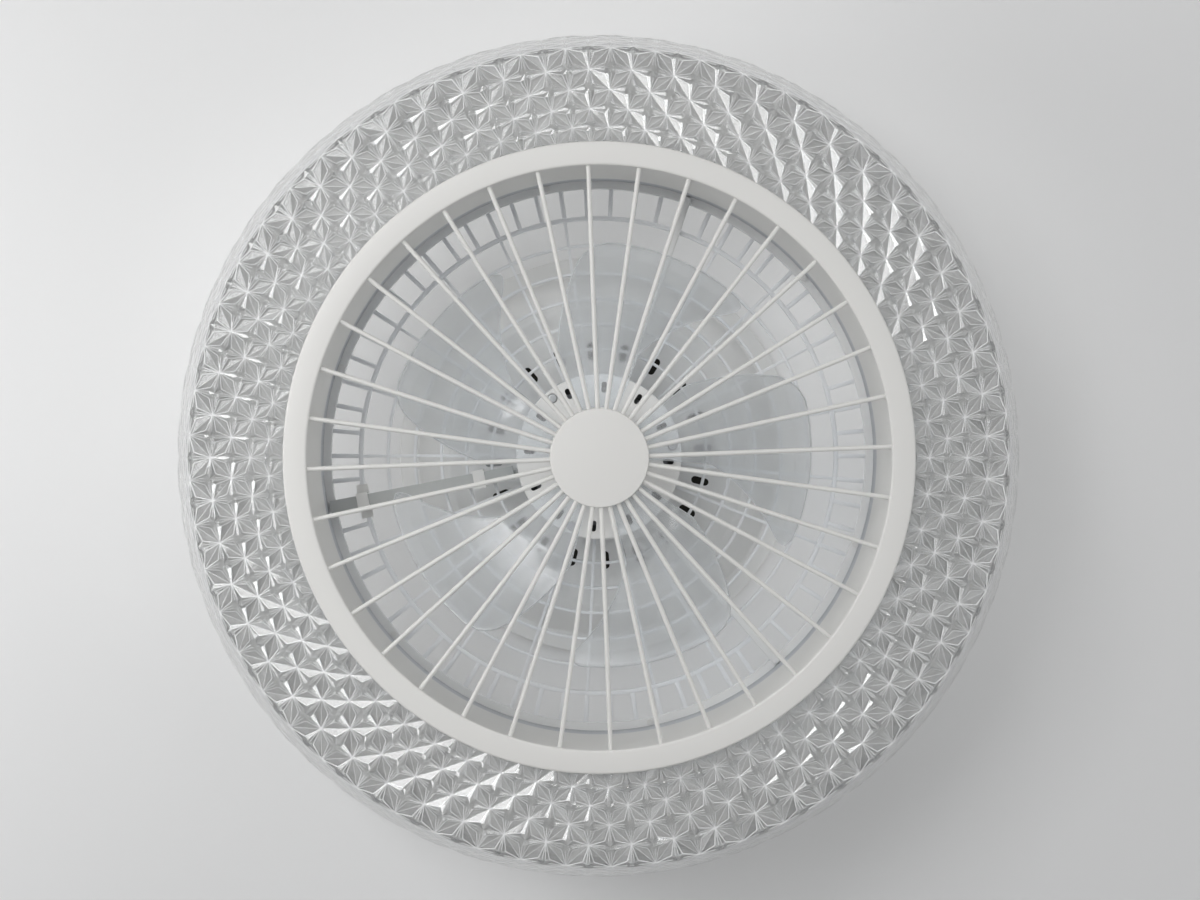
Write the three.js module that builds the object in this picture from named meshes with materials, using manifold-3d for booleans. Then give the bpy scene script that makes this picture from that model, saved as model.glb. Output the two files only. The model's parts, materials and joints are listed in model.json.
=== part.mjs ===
// A low ceiling light with a caged fan in its middle.
// Millimetres, +Z up; z = 0 is the ceiling, on the fan's axis.
import * as THREE from "three";
import { mergeVertices } from "three/addons/utils/BufferGeometryUtils.js";
import Module from "manifold-3d";

// Fits and overruns
const fit = 0.3; // clearance between pieces that seat in each other
const overrun = 1; // how far a cutter passes the face it cuts
const sheet = 1.2; // painted steel sheet
const weld = 0.001; // vertices closer than this are one

// Counts
const guardPlaces = 66; // one place for each short bar of the rear guard
const nextPlace = 1;
const ringSteps = 48;
const canopySteps = 40;
const hubSteps = 24;
const screwSides = 6;
const armCount = 3;
const bladeCount = 5;
const rodCount = 36;
const ventCount = 20;
const hubSlotCount = 12;
const toothCount = 9;
const rootRows = 1; // rows of a blade's surface over the rotor
const sweptRows = 8; // and beyond it
const bladeColumns = 4;
const guardScrewCount = 6;
const shadeScrewCount = 6;
const mountScrewCount = 3;
const terminalCount = 3;
const nutSides = 6;
const shaftSteps = 12;
const bearingSteps = 18;
const wideSlotSteps = 4; // straight steps in one rounded end
const narrowSlotSteps = 2;
const shoeSteps = 2;
const leadSteps = 26;
const leadHalfSides = 3;

// Directions about Z, in degrees
const armAngle = 49.1;
const leadArm = 1; // the arm that carries the lead, counted from zero
const rodAngle = 7.8;
const ventAngle = -4;
const bladeAngle = -18;
const hubSlotAngle = 20.7; // from the first blade

// Whole light
const lightHeight = 180; // ceiling to the front face of the trim ring

// Ceiling bracket and canopy
const strapWidth = 26;
const strapSheet = 2;
const earDrop = 9;
const slotLength = 18;
const slotWidth = 5;
const supplyHole = 8; // radius of the supply hole
const supplyReach = 24;
const slotGap = 4; // supply hole to a ceiling slot
const canopyRadius = 126;
const brimWidth = 12.4;
const taper = 21.6; // how far the wall leans in
const canopyDepth = 52;
const canopyRimGap = 0.8;
const earGap = 1; // bracket ear to the level of the canopy's brim
const shoulderDrop = 3.5;
const floorRound = 7; // width of the cut corner at the canopy's floor
const floorRise = 5.25; // and its height
const holeMargin = 3; // how much wider the floor's hole is than the guard's
const ventReach = 64.7;
const ventLength = 10.9;
const ventWidth = 4.5;

// Screws
const screwRadius = 1.6;
const screwHead = 3.3;
const headHeight = 1.8;
const capRadius = 1.95; // small white heads inside the duct
const canopyScrewLength = 7;

// Electrical boxes in the canopy
const boxLength = 46;
const boxWidth = 23;
const driverHeight = 26;
const controllerHeight = 20;
const blockLength = 22;
const blockHeight = 14;
const boxGap = 0.7; // screw head to the side of a box
const boxHole = 2.2;
const boxHolePitch = 23;
const boxHoleDepth = 5.75;
const wellDepth = 7;
const wellPitch = 7.3;

// Motor mount
const neckLength = 21.5;
const neckWall = 7;
const flangeRadius = 40;
const flangeThickness = 4;
const neckScrewGap = 2.4;
const mountScrewLength = 8;

// Motor shaft, base and stator
const shaftRadius = 5;
const collarRadius = 8;
const collarHeight = 1.5;
const nutRadius = 9;
const nutHeight = 6;
const lockNutHeight = 3.5;
const baseRadius = 50;
const leadProud = 0.7; // how far the lead stands out under the base
const runningGap = 2; // fixed base to turning rotor cover
const bearingRadius = 13;
const bearingHeight = 7;
const bearingSeat = 2.7; // wall of the boss round a bearing
const rotorRadius = 48.5;
const rotorSlack = 3; // room between bearings and stator
const rotorWall = 3;
const coverThickness = 1.7;
const faceThickness = 2.5;
const magnetThickness = 3.7;
const magnetHeight = 16;
const airGap = 0.7;
const statorHeight = 10;
const hubGap = 1; // bearing boss to the windings
const toothWidth = 7;
const shoeDepth = 3.6;
const coilWall = 2.6;
const coilInset = 2;
const hubSlotInset = 7.5;
const hubSlotLength = 6.5;
const hubSlotWidth = 2.9;

// Blades
const bladeTip = 125; // axis to a blade's tip
const bladeThickness = 2;
const rootGap = 2; // bearing boss to a blade's root
const bladeBend = 65; // radius where the blade begins to sweep
const tipGap = 38.5; // blade tip to the ring's bore
const bladeRootAngle = 43; // degrees
const bladeTipAngle = 50; // degrees
const sweepAngle = 22; // degrees
const pitchAngle = 14; // degrees
const fullPitchReach = 72; // where the blade reaches its full pitch
const tipRound = 9;
const tipShare = 0.78; // width left at the very tip
const clampRadius = 29;
const clampHeight = 8.5;
const clampWall = 2;

// Rear guard and its arms
const guardThickness = 3;
const guardPlate = 50;
const guardRim = 6.3;
const guardBar = 2.7; // width of the short outer bars and of the ring they end on
const guardWire = 1.8; // width of the long bars and of the other rings
const ringShares = [0.134, 0.27, 0.406, 0.548, 0.695, 0.842]; // from the plate out to the rim
const longBars = [0, 2, 5, 8, 11, 14, 17, 20]; // which of a sector's bar places run inwards
const longestChord = 28; // a ring's longest straight step
const armWidth = 4.6;
const armHeight = 6;
const armRoot = 26;
const guardScrewInset = 3.7;

// Lead and its channel
const leadRadius = 1.5;
const leadGap = 1.5; // round the lead where it comes down beside the shaft nut
const leadBend = 5;
const leadRise = 8; // above the canopy's floor
const leadGroove = 4;
const channelWidth = 8;
const channelWall = 1;
const channelHeight = 4.5;
const channelGap = 2; // base to the channel's inner end
const channelSetback = 1.5; // arm's end to the channel's outer end
const clipWall = 1.2;
const clipLength = 7;
const clipEar = 5;
const innerClipReach = 73;

// Chassis plate, light board, duct
const deckDrop = 5.5;
const flangeLedge = 3; // guard's edge to the bend of the flange
const flangeRun = 4;
const rimDrop = 14.3;
const rimWidth = 10;
const rimRun = 7;
const rimEdge = 1; // shade edge to plate edge
const ductTaper = 2.7; // how much wider the duct is at the guard
const ductWall = 1.5;
const boardInset = 3;
const boardThickness = 1.6;

// Front ring and shade
const trimWidth = 13.5;
const shadeBand = 86.5; // the ring's bore to the shade's edge
const trimThickness = 4;
const trimRound = 1.6;
const collarDepth = 66;
const collarWall = 2.7;
const flareWidth = 19; // corner to the shade's edge
const facetCount = 57; // stars in one row
const sideRows = 5;
const frontSlope = 3.5; // how much the front face rises from the trim ring to the corner
const facetHeight = 3.2;
const sideReliefShare = 0.5; // height of the side's facets, as a share of the front's
const shadeWall = 2.2;
const lipWidth = 9;
const lipThickness = 2.5;
const shadeScrewInset = 5.5;

// Front grille
const rodRadius = 1.3;
const rodSides = 6;
const grilleHub = 26;
const grilleHubThickness = 4.3;
const capDisc = 27.7;
const capThickness = 1.4;

// Radii that follow from other sizes
const slotReach = supplyReach + supplyHole + slotGap + slotLength / 2;
const shoulderRadius = canopyRadius - brimWidth;
const floorRadius = shoulderRadius - taper;
const leadReach = nutRadius + leadGap + leadRadius;
const guardBore = leadReach + leadRadius + leadGap;
const floorHole = guardBore + holeMargin;
const neckRadius = guardBore + neckWall;
const mountScrewReach = neckRadius + neckScrewGap + screwRadius;
const boxReach = mountScrewReach + screwHead + boxGap + boxWidth / 2;
const bossRadius = bearingRadius + fit + bearingSeat;
const statorHub = bossRadius + hubGap - coilInset;
const hubSlotReach = rotorRadius - hubSlotInset;
const bladeRoot = bossRadius + rootGap;
const trimBore = bladeTip + tipGap;
const shadeRadius = trimBore + shadeBand;
const ductFront = trimBore + fit;
const ductRear = ductFront + ductTaper;
const guardOuter = ductRear + ductWall;
const guardInner = guardOuter - guardRim;
const guardScrewReach = guardOuter - guardScrewInset;
const ringRadii = ringShares.map((share) => THREE.MathUtils.lerp(guardPlate, guardInner, share));
const flangeOuter = guardOuter + flangeLedge;
const deckInner = flangeOuter + flangeRun;
const rimInner = shadeRadius - rimWidth;
const deckOuter = rimInner - rimRun;
const trimRadius = trimBore + trimWidth;
const cornerRadius = shadeRadius - flareWidth;
const shadeScrewReach = shadeRadius - shadeScrewInset;
const rodSetback = capThickness + fit + rodRadius; // front face to a rod's centre line

// Levels, from the ceiling down
const canopyFloor = -canopyDepth;
const skirtDrop = earDrop + earGap;
const canopyScrewDrop = (strapSheet + earDrop) / 2;
const floorTop = canopyFloor + sheet;
const guardTop = canopyFloor - neckLength;
const guardBottom = guardTop - guardThickness;
const flangeBottom = guardBottom - sheet;
const deckTop = guardBottom - deckDrop;
const deckBottom = deckTop - sheet;
const rimTop = deckTop - rimDrop;
const lipTop = rimTop - sheet;
const armTop = flangeBottom;
const armBottom = armTop - armHeight;
const leadLevel = armBottom - channelHeight + channelWall + leadRadius;
const baseBottom = leadLevel - leadRadius + leadProud;
const coverTop = baseBottom - runningGap;
const housingTop = coverTop - coverThickness;
const rotorHeight = statorHeight + 2 * bearingHeight + rotorSlack;
const rotorBottom = coverTop - rotorHeight;
const faceTop = rotorBottom + faceThickness;
const bladeTop = rotorBottom;
const bladeBottom = bladeTop - bladeThickness;
const statorMiddle = (housingTop + faceTop) / 2;
const frontFace = -lightHeight;
const trimBack = frontFace + trimThickness;
const collarTop = frontFace + collarDepth;
const boardBottom = deckBottom - boardThickness;

const radians = THREE.MathUtils.degToRad;
const fullTurn = 2 * Math.PI;
const halfShare = 0.5;
const unitShare = 1;

const wasm = await Module();
wasm.setup();

// Solids from three.js geometry, joined and cut
function manifold(geometry) {
  const bare = geometry.index ? geometry.toNonIndexed() : geometry.clone();
  for (const name of Object.keys(bare.attributes)) if (name !== "position") bare.deleteAttribute(name);
  const merged = mergeVertices(bare, weld);
  return new wasm.Manifold(
    new wasm.Mesh({
      numProp: 3,
      vertProperties: merged.attributes.position.array,
      triVerts: new Uint32Array(merged.index.array),
    }),
  );
}

function geometryOf(solid) {
  const mesh = solid.getMesh();
  return new THREE.BufferGeometry()
    .setAttribute("position", new THREE.BufferAttribute(mesh.vertProperties, 3))
    .setIndex(new THREE.BufferAttribute(mesh.triVerts, 1));
}

function join(pieces) {
  return geometryOf(pieces.map(manifold).reduce((sum, piece) => sum.add(piece)));
}

function cut(geometry, cutters) {
  const body = manifold(geometry);
  return geometryOf(cutters.map(manifold).reduce((rest, cutter) => rest.subtract(cutter), body));
}

// A solid turned about Z from [radius, height] points: closed on itself, or from the axis to the axis.
function turned(points, steps) {
  const profile = points.map(([radius, height]) => new THREE.Vector2(radius, height));
  return new THREE.LatheGeometry(profile, steps, Math.PI / 2).rotateX(Math.PI / 2);
}

function ring(inner, outer, low, high, steps) {
  return turned([[inner, low], [outer, low], [outer, high], [inner, high], [inner, low]], steps);
}

function disc(radius, low, high, steps) {
  return turned([[0, low], [radius, low], [radius, high], [0, high]], steps);
}

// The closed outline of a sheet whose path is one face and whose thickness lies on the path's left.
function sheetOutline(path, thickness) {
  const points = path.map(([radius, height]) => new THREE.Vector2(radius, height));
  const normals = points.slice(1).map((point, i) => {
    const along = point.clone().sub(points[i]).normalize();
    return new THREE.Vector2(-along.y, along.x);
  });
  const offset = points.map((point, i) => {
    const after = normals[Math.min(i, normals.length - 1)];
    const miter = normals[Math.max(i - 1, 0)].clone().add(after).normalize();
    return point.clone().addScaledVector(miter, thickness / miter.dot(after));
  });
  return [...points, ...offset.reverse(), points[0]].map((point) => [point.x, point.y]);
}

function block(length, width, low, high) {
  return new THREE.BoxGeometry(length, width, high - low).translate(0, 0, (low + high) / 2);
}

// A block from one radius to another along local X.
function spoke(from, to, width, low, high) {
  return block(to - from, width, low, high).translate((from + to) / 2, 0, 0);
}

// An upright slab with the outline given
function slab(outline, low, high) {
  const shape = new THREE.Shape(outline);
  return new THREE.ExtrudeGeometry(shape, { depth: high - low, bevelEnabled: false }).translate(0, 0, low);
}

function slotShape(length, width) {
  const half = (length - width) / 2;
  const round = width / 2;
  const shape = new THREE.Shape();
  shape.absarc(half, 0, round, -Math.PI / 2, Math.PI / 2);
  shape.absarc(-half, 0, round, Math.PI / 2, Math.PI * 1.5);
  return shape;
}

// A round-ended cutter whose slot lies along X, its centre at a reach from the axis.
function slotCutter(reach, length, width, low, high, arcSteps) {
  return new THREE.ExtrudeGeometry(slotShape(length, width), {
    depth: high - low,
    bevelEnabled: false,
    curveSegments: arcSteps,
  }).translate(reach, 0, low);
}

function around(count, make, start = 0) {
  return Array.from({ length: count }, (_, i) => make().rotateZ(start + (i * fullTurn) / count));
}

function pin(radius, low, high) {
  return disc(radius, low, high, screwSides);
}

// A screw down the Z axis: its head stands on the level given, above or below it.
function screw(level, length, head, up) {
  const side = up ? 1 : -1;
  const points = [
    [0, level + side * headHeight],
    [head, level + side * headHeight],
    [head, level],
    [screwRadius, level],
    [screwRadius, level - side * length],
    [0, level - side * length],
  ];
  return turned(up ? points.reverse() : points, screwSides);
}
const screwHole = screwRadius + fit;

// Ceiling bracket: a strap with two ears bent down inside the canopy's skirt
const skirtInner = (canopyRadius - sheet) * Math.cos(Math.PI / canopySteps);
const earFace = Math.sqrt(skirtInner ** 2 - (strapWidth / 2) ** 2) - fit;

function ceilingBracket() {
  const strap = block(2 * earFace, strapWidth, -strapSheet, 0);
  const ear = block(strapSheet, strapWidth, -earDrop, 0);
  const ears = [1, -1].map((side) => ear.clone().translate(side * (earFace - strapSheet / 2), 0, 0));
  const high = overrun;
  const low = -strapSheet - overrun;
  const slot = (side) => slotCutter(side * slotReach, slotLength, slotWidth, low, high, wideSlotSteps);
  const supply = disc(supplyHole, low, high, hubSteps).translate(supplyReach, 0, 0);
  return cut(join([strap, ...ears]), [slot(1), slot(-1), supply, canopyScrewHoles()]);
}

function canopyScrewHoles() {
  const reach = canopyRadius + overrun;
  return pin(screwHole, -reach, reach).rotateY(Math.PI / 2).translate(0, 0, -canopyScrewDrop);
}

function canopy() {
  const path = [
    [floorHole, canopyFloor],
    [floorRadius, canopyFloor],
    [floorRadius + floorRound, canopyFloor + floorRise],
    [shoulderRadius, -skirtDrop - shoulderDrop],
    [canopyRadius, -skirtDrop],
    [canopyRadius, -canopyRimGap],
  ];
  const low = canopyFloor - overrun;
  const high = floorTop + overrun;
  const vent = () => slotCutter(ventReach, ventLength, ventWidth, low, high, narrowSlotSteps);
  const screws = around(mountScrewCount, () => pin(screwHole, low, high).translate(mountScrewReach, 0, 0));
  const holes = [...around(ventCount, vent, radians(ventAngle)), ...screws, canopyScrewHoles()];
  return cut(turned(sheetOutline(path, sheet), canopySteps), holes);
}

// A screw through the canopy's skirt and the bracket's ear, along -X from outside
function canopyScrew() {
  const upright = screw(canopyRadius, canopyScrewLength, screwHead, true);
  return upright.rotateY(Math.PI / 2).translate(0, 0, -canopyScrewDrop);
}

// Boxes on the canopy's floor, each with the holes of its leads
function electricBox(length, height) {
  const box = block(length, boxWidth, floorTop, floorTop + height);
  const hole = pin(boxHole, -overrun, boxHoleDepth)
    .rotateX(-Math.PI / 2)
    .translate(boxHolePitch / 2, -boxWidth / 2, floorTop + height / 2);
  return cut(box, [hole, hole.clone().translate(-boxHolePitch, 0, 0)]);
}

function terminalBlock() {
  const body = block(blockLength, boxWidth, floorTop, floorTop + blockHeight);
  const top = floorTop + blockHeight;
  const wells = Array.from({ length: terminalCount }, (_, i) =>
    pin(boxHole, top - wellDepth, top + overrun).translate((i - (terminalCount - 1) / 2) * wellPitch, 0, 0),
  );
  return cut(body, wells);
}

// Motor mount: a flange under the canopy's floor and a hollow neck down to the guard
function motorMount() {
  const web = canopyFloor - flangeThickness;
  const body = turned(
    [
      [shaftRadius + fit, canopyFloor],
      [shaftRadius + fit, web],
      [neckRadius - neckWall, web],
      [neckRadius - neckWall, guardTop],
      [neckRadius, guardTop],
      [neckRadius, web],
      [flangeRadius, web],
      [flangeRadius, canopyFloor],
      [shaftRadius + fit, canopyFloor],
    ],
    hubSteps,
  );
  const low = web - overrun;
  const high = canopyFloor + overrun;
  const screws = around(mountScrewCount, () => pin(screwHole, low, high).translate(mountScrewReach, 0, 0));
  const lead = pin(leadRadius + fit, low, high).translate(leadReach, 0, 0).rotateZ(leadDirection);
  return cut(body, [...screws, lead]);
}
const leadDirection = radians(armAngle) + (leadArm * fullTurn) / armCount;

// Fixed shaft: up through base, guard plate and mount to a nut, down through both bearings to a lock nut
const lockNutTop = rotorBottom - bearingSeat - fit;
const shaftEnd = lockNutTop - lockNutHeight - fit;

function motorShaft() {
  const collarTop = baseBottom;
  const top = canopyFloor + nutHeight + fit;
  return turned(
    [
      [0, shaftEnd],
      [shaftRadius, shaftEnd],
      [shaftRadius, collarTop - collarHeight],
      [collarRadius, collarTop - collarHeight],
      [collarRadius, collarTop],
      [shaftRadius, collarTop],
      [shaftRadius, top],
      [0, top],
    ],
    shaftSteps,
  );
}

function nut(low, high) {
  const bore = disc(shaftRadius + fit, low - overrun, high + overrun, shaftSteps);
  return cut(disc(nutRadius, low, high, nutSides), [bore]);
}

function motorBase() {
  const plate = ring(shaftRadius + fit, baseRadius, baseBottom, guardBottom, hubSteps);
  const width = armWidth + 2 * fit;
  const outside = baseRadius + overrun;
  const mortises = around(
    armCount,
    () => spoke(armRoot - fit, outside, width, armBottom - fit, armTop + fit),
    radians(armAngle),
  );
  const bore = pin(leadRadius + fit, baseBottom - overrun, guardBottom + overrun).translate(leadReach, 0, 0);
  const grooveFrom = leadReach - leadRadius - fit;
  const groove = spoke(grooveFrom, outside, leadGroove, baseBottom - overrun, armBottom);
  const bendEnd = leadReach + leadBend + leadRadius;
  const bendTop = leadLevel + leadRadius + leadBend;
  const pocket = spoke(grooveFrom, bendEnd, leadGroove, armBottom - overrun, bendTop);
  const leadWay = [bore, groove, pocket].map((cutter) => cutter.rotateZ(leadDirection));
  return cut(plate, [...mortises, ...leadWay]);
}

// Stator: a laminated core with teeth, and a coil on each tooth
const magnetOuter = rotorRadius - rotorWall - fit;
const magnetInner = magnetOuter - magnetThickness;
const statorRadius = magnetInner - airGap;
const shoeShare = 0.38; // half a pole shoe, as a share of a tooth's turn
const shoeAngle = (fullTurn / toothCount) * shoeShare;

function motorStator() {
  const low = statorMiddle - statorHeight / 2;
  const high = statorMiddle + statorHeight / 2;
  const core = ring(shaftRadius + fit, statorHub, low, high, hubSteps);
  const tooth = () => spoke(statorHub - overrun, statorRadius - shoeDepth / 2, toothWidth, low, high);
  const shoe = () => {
    const shape = new THREE.Shape();
    shape.absarc(0, 0, statorRadius, -shoeAngle, shoeAngle);
    shape.absarc(0, 0, statorRadius - shoeDepth, shoeAngle, -shoeAngle, true);
    const pole = { depth: statorHeight, bevelEnabled: false, curveSegments: shoeSteps };
    return new THREE.ExtrudeGeometry(shape, pole).translate(0, 0, low);
  };
  return join([core, ...around(toothCount, tooth), ...around(toothCount, shoe)]);
}

function statorWindings() {
  const half = statorHeight / 2 + fit;
  const outer = half + coilWall;
  const from = statorHub + coilInset;
  const width = toothWidth + 2 * fit;
  const shoeFace = (statorRadius - shoeDepth) * Math.cos(shoeAngle / 2) - fit;
  const to = Math.sqrt(shoeFace ** 2 - (width / 2 + coilWall) ** 2);
  const coil = () => spoke(from, to, width + 2 * coilWall, statorMiddle - outer, statorMiddle + outer);
  const window = () => spoke(from - overrun, to + overrun, width, statorMiddle - half, statorMiddle + half);
  const bobbin = ring(from, from + coilWall, statorMiddle + half, statorMiddle + outer, hubSteps);
  return cut(join([bobbin, ...around(toothCount, coil)]), around(toothCount, window));
}

// Rotor: cover and housing round the magnets, each with a bearing in its boss
function rotorCover() {
  const seat = coverTop - bearingHeight;
  return turned(
    [
      [bearingRadius + fit, coverTop],
      [bearingRadius + fit, seat],
      [bossRadius, seat],
      [bossRadius, housingTop],
      [rotorRadius, housingTop],
      [rotorRadius, coverTop],
      [bearingRadius + fit, coverTop],
    ],
    hubSteps,
  );
}

function rotorHousing() {
  const bore = bearingRadius + fit;
  const seat = rotorBottom - bearingSeat + bearingHeight;
  const body = turned(
    [
      [bore, seat],
      [bore, rotorBottom - bearingSeat],
      [bossRadius, rotorBottom - bearingSeat],
      [bossRadius, rotorBottom],
      [rotorRadius, rotorBottom],
      [rotorRadius, housingTop],
      [rotorRadius - rotorWall, housingTop],
      [rotorRadius - rotorWall, faceTop],
      [bossRadius, faceTop],
      [bossRadius, seat],
      [bore, seat],
    ],
    hubSteps,
  );
  const low = rotorBottom - overrun;
  const high = faceTop + overrun;
  const slot = () => slotCutter(hubSlotReach, hubSlotLength, hubSlotWidth, low, high, narrowSlotSteps);
  return cut(body, around(hubSlotCount, slot, radians(hubSlotAngle)));
}

function bearing(low) {
  return ring(shaftRadius + fit, bearingRadius, low, low + bearingHeight, bearingSteps);
}

// A blade: a thin slab bent to its swept outline and pitched, its anticlockwise edge towards the ceiling
function blade() {
  const rows = rootRows + sweptRows;
  const leaf = new THREE.BoxGeometry(unitShare, unitShare, bladeThickness, rows, bladeColumns, 1);
  const place = leaf.attributes.position;
  const flatShare = rootRows / rows;
  const bladeFlat = rotorRadius + fit;
  for (let i = 0; i < place.count; i++) {
    const across = place.getY(i);
    const along = place.getX(i) + unitShare / 2;
    const radius =
      along < flatShare
        ? THREE.MathUtils.mapLinear(along, 0, flatShare, bladeRoot, bladeFlat)
        : THREE.MathUtils.mapLinear(along, flatShare, 1, bladeFlat, bladeTip);
    const swept = Math.max(0, (radius - bladeBend) / (bladeTip - bladeBend));
    const nearTip = Math.max(0, 1 - (bladeTip - radius) / tipRound);
    const narrow = 1 - (1 - tipShare) * nearTip ** 2;
    const span = radians(THREE.MathUtils.lerp(bladeRootAngle, bladeTipAngle, swept)) * narrow;
    const angle = radians(sweepAngle) * swept + across * span;
    const rise = THREE.MathUtils.smoothstep(radius, bladeFlat + weld, fullPitchReach);
    const height = across * span * radius * Math.tan(radians(pitchAngle)) * rise;
    const level = (bladeTop + bladeBottom) / 2 + place.getZ(i) + height;
    place.setXYZ(i, radius * Math.cos(angle), radius * Math.sin(angle), level);
  }
  return leaf;
}

// A cap that clamps the blade roots and covers the lock nut
function bladeClamp() {
  const low = bladeBottom - clampHeight;
  return turned(
    [
      [0, low],
      [clampRadius - clampWall, low],
      [clampRadius, low + clampWall],
      [clampRadius, bladeBottom],
      [bossRadius + fit, bladeBottom],
      [bossRadius + fit, low + clampWall],
      [0, low + clampWall],
    ],
    hubSteps,
  );
}

// Rear guard: one flat moulding whose cells are holes between rings and bars
function guardCells() {
  const step = fullTurn / guardPlaces;
  const rings = [
    { radius: guardPlate, inner: 0, outer: 0 },
    ...ringRadii.map((radius, i) => {
      const half = (i === ringRadii.length - 1 ? guardBar : guardWire) / 2;
      return { radius, inner: half, outer: half };
    }),
  ];
  const places = Array.from({ length: armCount }, (_, arm) =>
    longBars.map((place) => arm * (guardPlaces / armCount) + place),
  ).flat();
  const cells = [];
  const addCell = (inner, outer, from, to, bar, innerSteps, outerSteps) => {
    const corner = (radius, place, side) => place * step + side * Math.asin(bar / 2 / radius);
    const arc = (radius, count) => {
      const start = corner(radius, from, 1);
      const end = corner(radius, to, -1);
      return Array.from({ length: count + 1 }, (_, i) => {
        const angle = THREE.MathUtils.lerp(start, end, i / count);
        return new THREE.Vector2(radius * Math.cos(angle), radius * Math.sin(angle));
      });
    };
    cells.push([...arc(outer, outerSteps), ...arc(inner, innerSteps).reverse()]);
  };
  rings.slice(1).forEach((outside, i) => {
    const inside = rings[i];
    places.forEach((from, j) => {
      const to = j + 1 < places.length ? places[j + 1] : guardPlaces;
      const wide = to - from;
      const stepsAt = (radius) => Math.min(wide, Math.ceil((wide * step * radius) / longestChord));
      addCell(
        inside.radius + inside.outer,
        outside.radius - outside.inner,
        from,
        to,
        guardWire,
        stepsAt(inside.radius),
        stepsAt(outside.radius),
      );
    });
  });
  const last = rings[rings.length - 1];
  const whole = [1, 1]; // one straight step inside and outside
  for (let place = 0; place < guardPlaces; place += nextPlace)
    addCell(last.radius + last.outer, guardInner, place, place + nextPlace, guardBar, ...whole);
  return cells;
}

function rearGuard() {
  const edge = Array.from({ length: guardPlaces }, (_, i) => {
    const angle = (i * fullTurn) / guardPlaces;
    return new THREE.Vector2(guardOuter * Math.cos(angle), guardOuter * Math.sin(angle));
  });
  const low = guardBottom - overrun;
  const high = guardTop + overrun;
  const hole = () => pin(screwHole, low, high).translate(guardScrewReach, 0, 0);
  const screws = around(guardScrewCount, hole, guardScrewStart);
  const cells = guardCells().map((cell) => slab(cell, low, high));
  return cut(slab(edge, guardBottom, guardTop), [...cells, pin(guardBore, low, high), ...screws]);
}
const guardScrewStart = (halfShare * fullTurn) / guardScrewCount;

// Arms carry the light from the motor base. Each is drawn along X and turned to its place.
function ductInnerAt(level) {
  const radius = THREE.MathUtils.mapLinear(level, collarTop, flangeBottom, ductFront, ductRear);
  return radius * Math.cos(Math.PI / ringSteps);
}
const armEnd = ductInnerAt(armBottom) - fit;
const channelStart = baseRadius + channelGap;
const channelEnd = armEnd - channelSetback;

function supportArm() {
  return spoke(armRoot, armEnd, armWidth, armBottom, armTop);
}

// Channel: an upturned trough under the arm, with the lead inside it
function cableChannel() {
  const low = armBottom - fit - channelHeight;
  const high = armBottom - fit;
  const inside = channelWidth - 2 * channelWall;
  const trough = [channelStart - overrun, channelEnd + overrun, inside, low + channelWall, high + overrun];
  return cut(spoke(channelStart, channelEnd, channelWidth, low, high), [spoke(...trough)]);
}

// A clip round arm and channel; with ears it also lies along a ring of the guard.
function channelClip(reach, eared) {
  const low = armBottom - fit - channelHeight - fit - clipWall;
  const inside = channelWidth + 2 * fit;
  const outside = inside + 2 * clipWall;
  const high = guardBottom - fit;
  const from = reach - clipLength / 2;
  const to = reach + clipLength / 2;
  const saddle = spoke(from, to, outside, low, high);
  const hollow = spoke(from - overrun, to + overrun, inside, low + clipWall, high + overrun);
  const body = cut(saddle, [hollow]);
  if (!eared) return body;
  const aside = (outside + clipEar) / 2 - fit;
  const ear = (side) => spoke(from, to, clipEar, high - clipWall, high).translate(0, side * aside, 0);
  return join([body, ear(1), ear(-1)]);
}

// Lead: from the driver, down beside the shaft, out along the arm
function ledLead() {
  const high = floorTop + leadRise;
  const corners = [
    [boxReach - boxWidth / 2 - fit, high],
    [leadReach, high],
    [leadReach, leadLevel],
    [channelEnd, leadLevel],
  ].map(([x, z]) => new THREE.Vector3(x, 0, z));
  const route = new THREE.CurvePath();
  let start = corners[0];
  corners.slice(1, -1).forEach((corner, i) => {
    const before = corner.clone().lerp(corners[i], leadBend / corner.distanceTo(corners[i]));
    const after = corner.clone().lerp(corners[i + 2], leadBend / corner.distanceTo(corners[i + 2]));
    route.add(new THREE.LineCurve3(start, before));
    route.add(new THREE.QuadraticBezierCurve3(before, corner, after));
    start = after;
  });
  route.add(new THREE.LineCurve3(start, corners[corners.length - 1]));
  const section = new THREE.Shape();
  section.absarc(0, 0, leadRadius, 0, fullTurn);
  const swept = { extrudePath: route, steps: leadSteps, curveSegments: leadHalfSides, bevelEnabled: false };
  return new THREE.ExtrudeGeometry(section, swept);
}

// Chassis plate: guard flange, deck for the light board, and the rim that carries the shade
function chassisPlate() {
  const path = [
    [shadeRadius - rimEdge, rimTop],
    [rimInner, rimTop],
    [deckOuter, deckTop],
    [deckInner, deckTop],
    [flangeOuter, guardBottom],
    [guardInner, guardBottom],
  ];
  const hole = (reach, level) =>
    pin(screwHole, level - overrun - sheet, level + overrun).translate(reach, 0, 0);
  const screws = around(guardScrewCount, () => hole(guardScrewReach, guardBottom), guardScrewStart);
  const rimScrews = around(shadeScrewCount, () => hole(shadeScrewReach, rimTop));
  return cut(turned(sheetOutline(path, sheet), ringSteps), [...screws, ...rimScrews]);
}

function ledBoard() {
  return ring(deckInner + boardInset, deckOuter - boardInset, boardBottom, deckBottom, ringSteps);
}

function ductTube() {
  return turned(
    [
      [ductFront, collarTop],
      [ductFront + ductWall, collarTop],
      [ductRear + ductWall, flangeBottom],
      [ductRear, flangeBottom],
      [ductFront, collarTop],
    ],
    ringSteps,
  );
}

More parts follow.
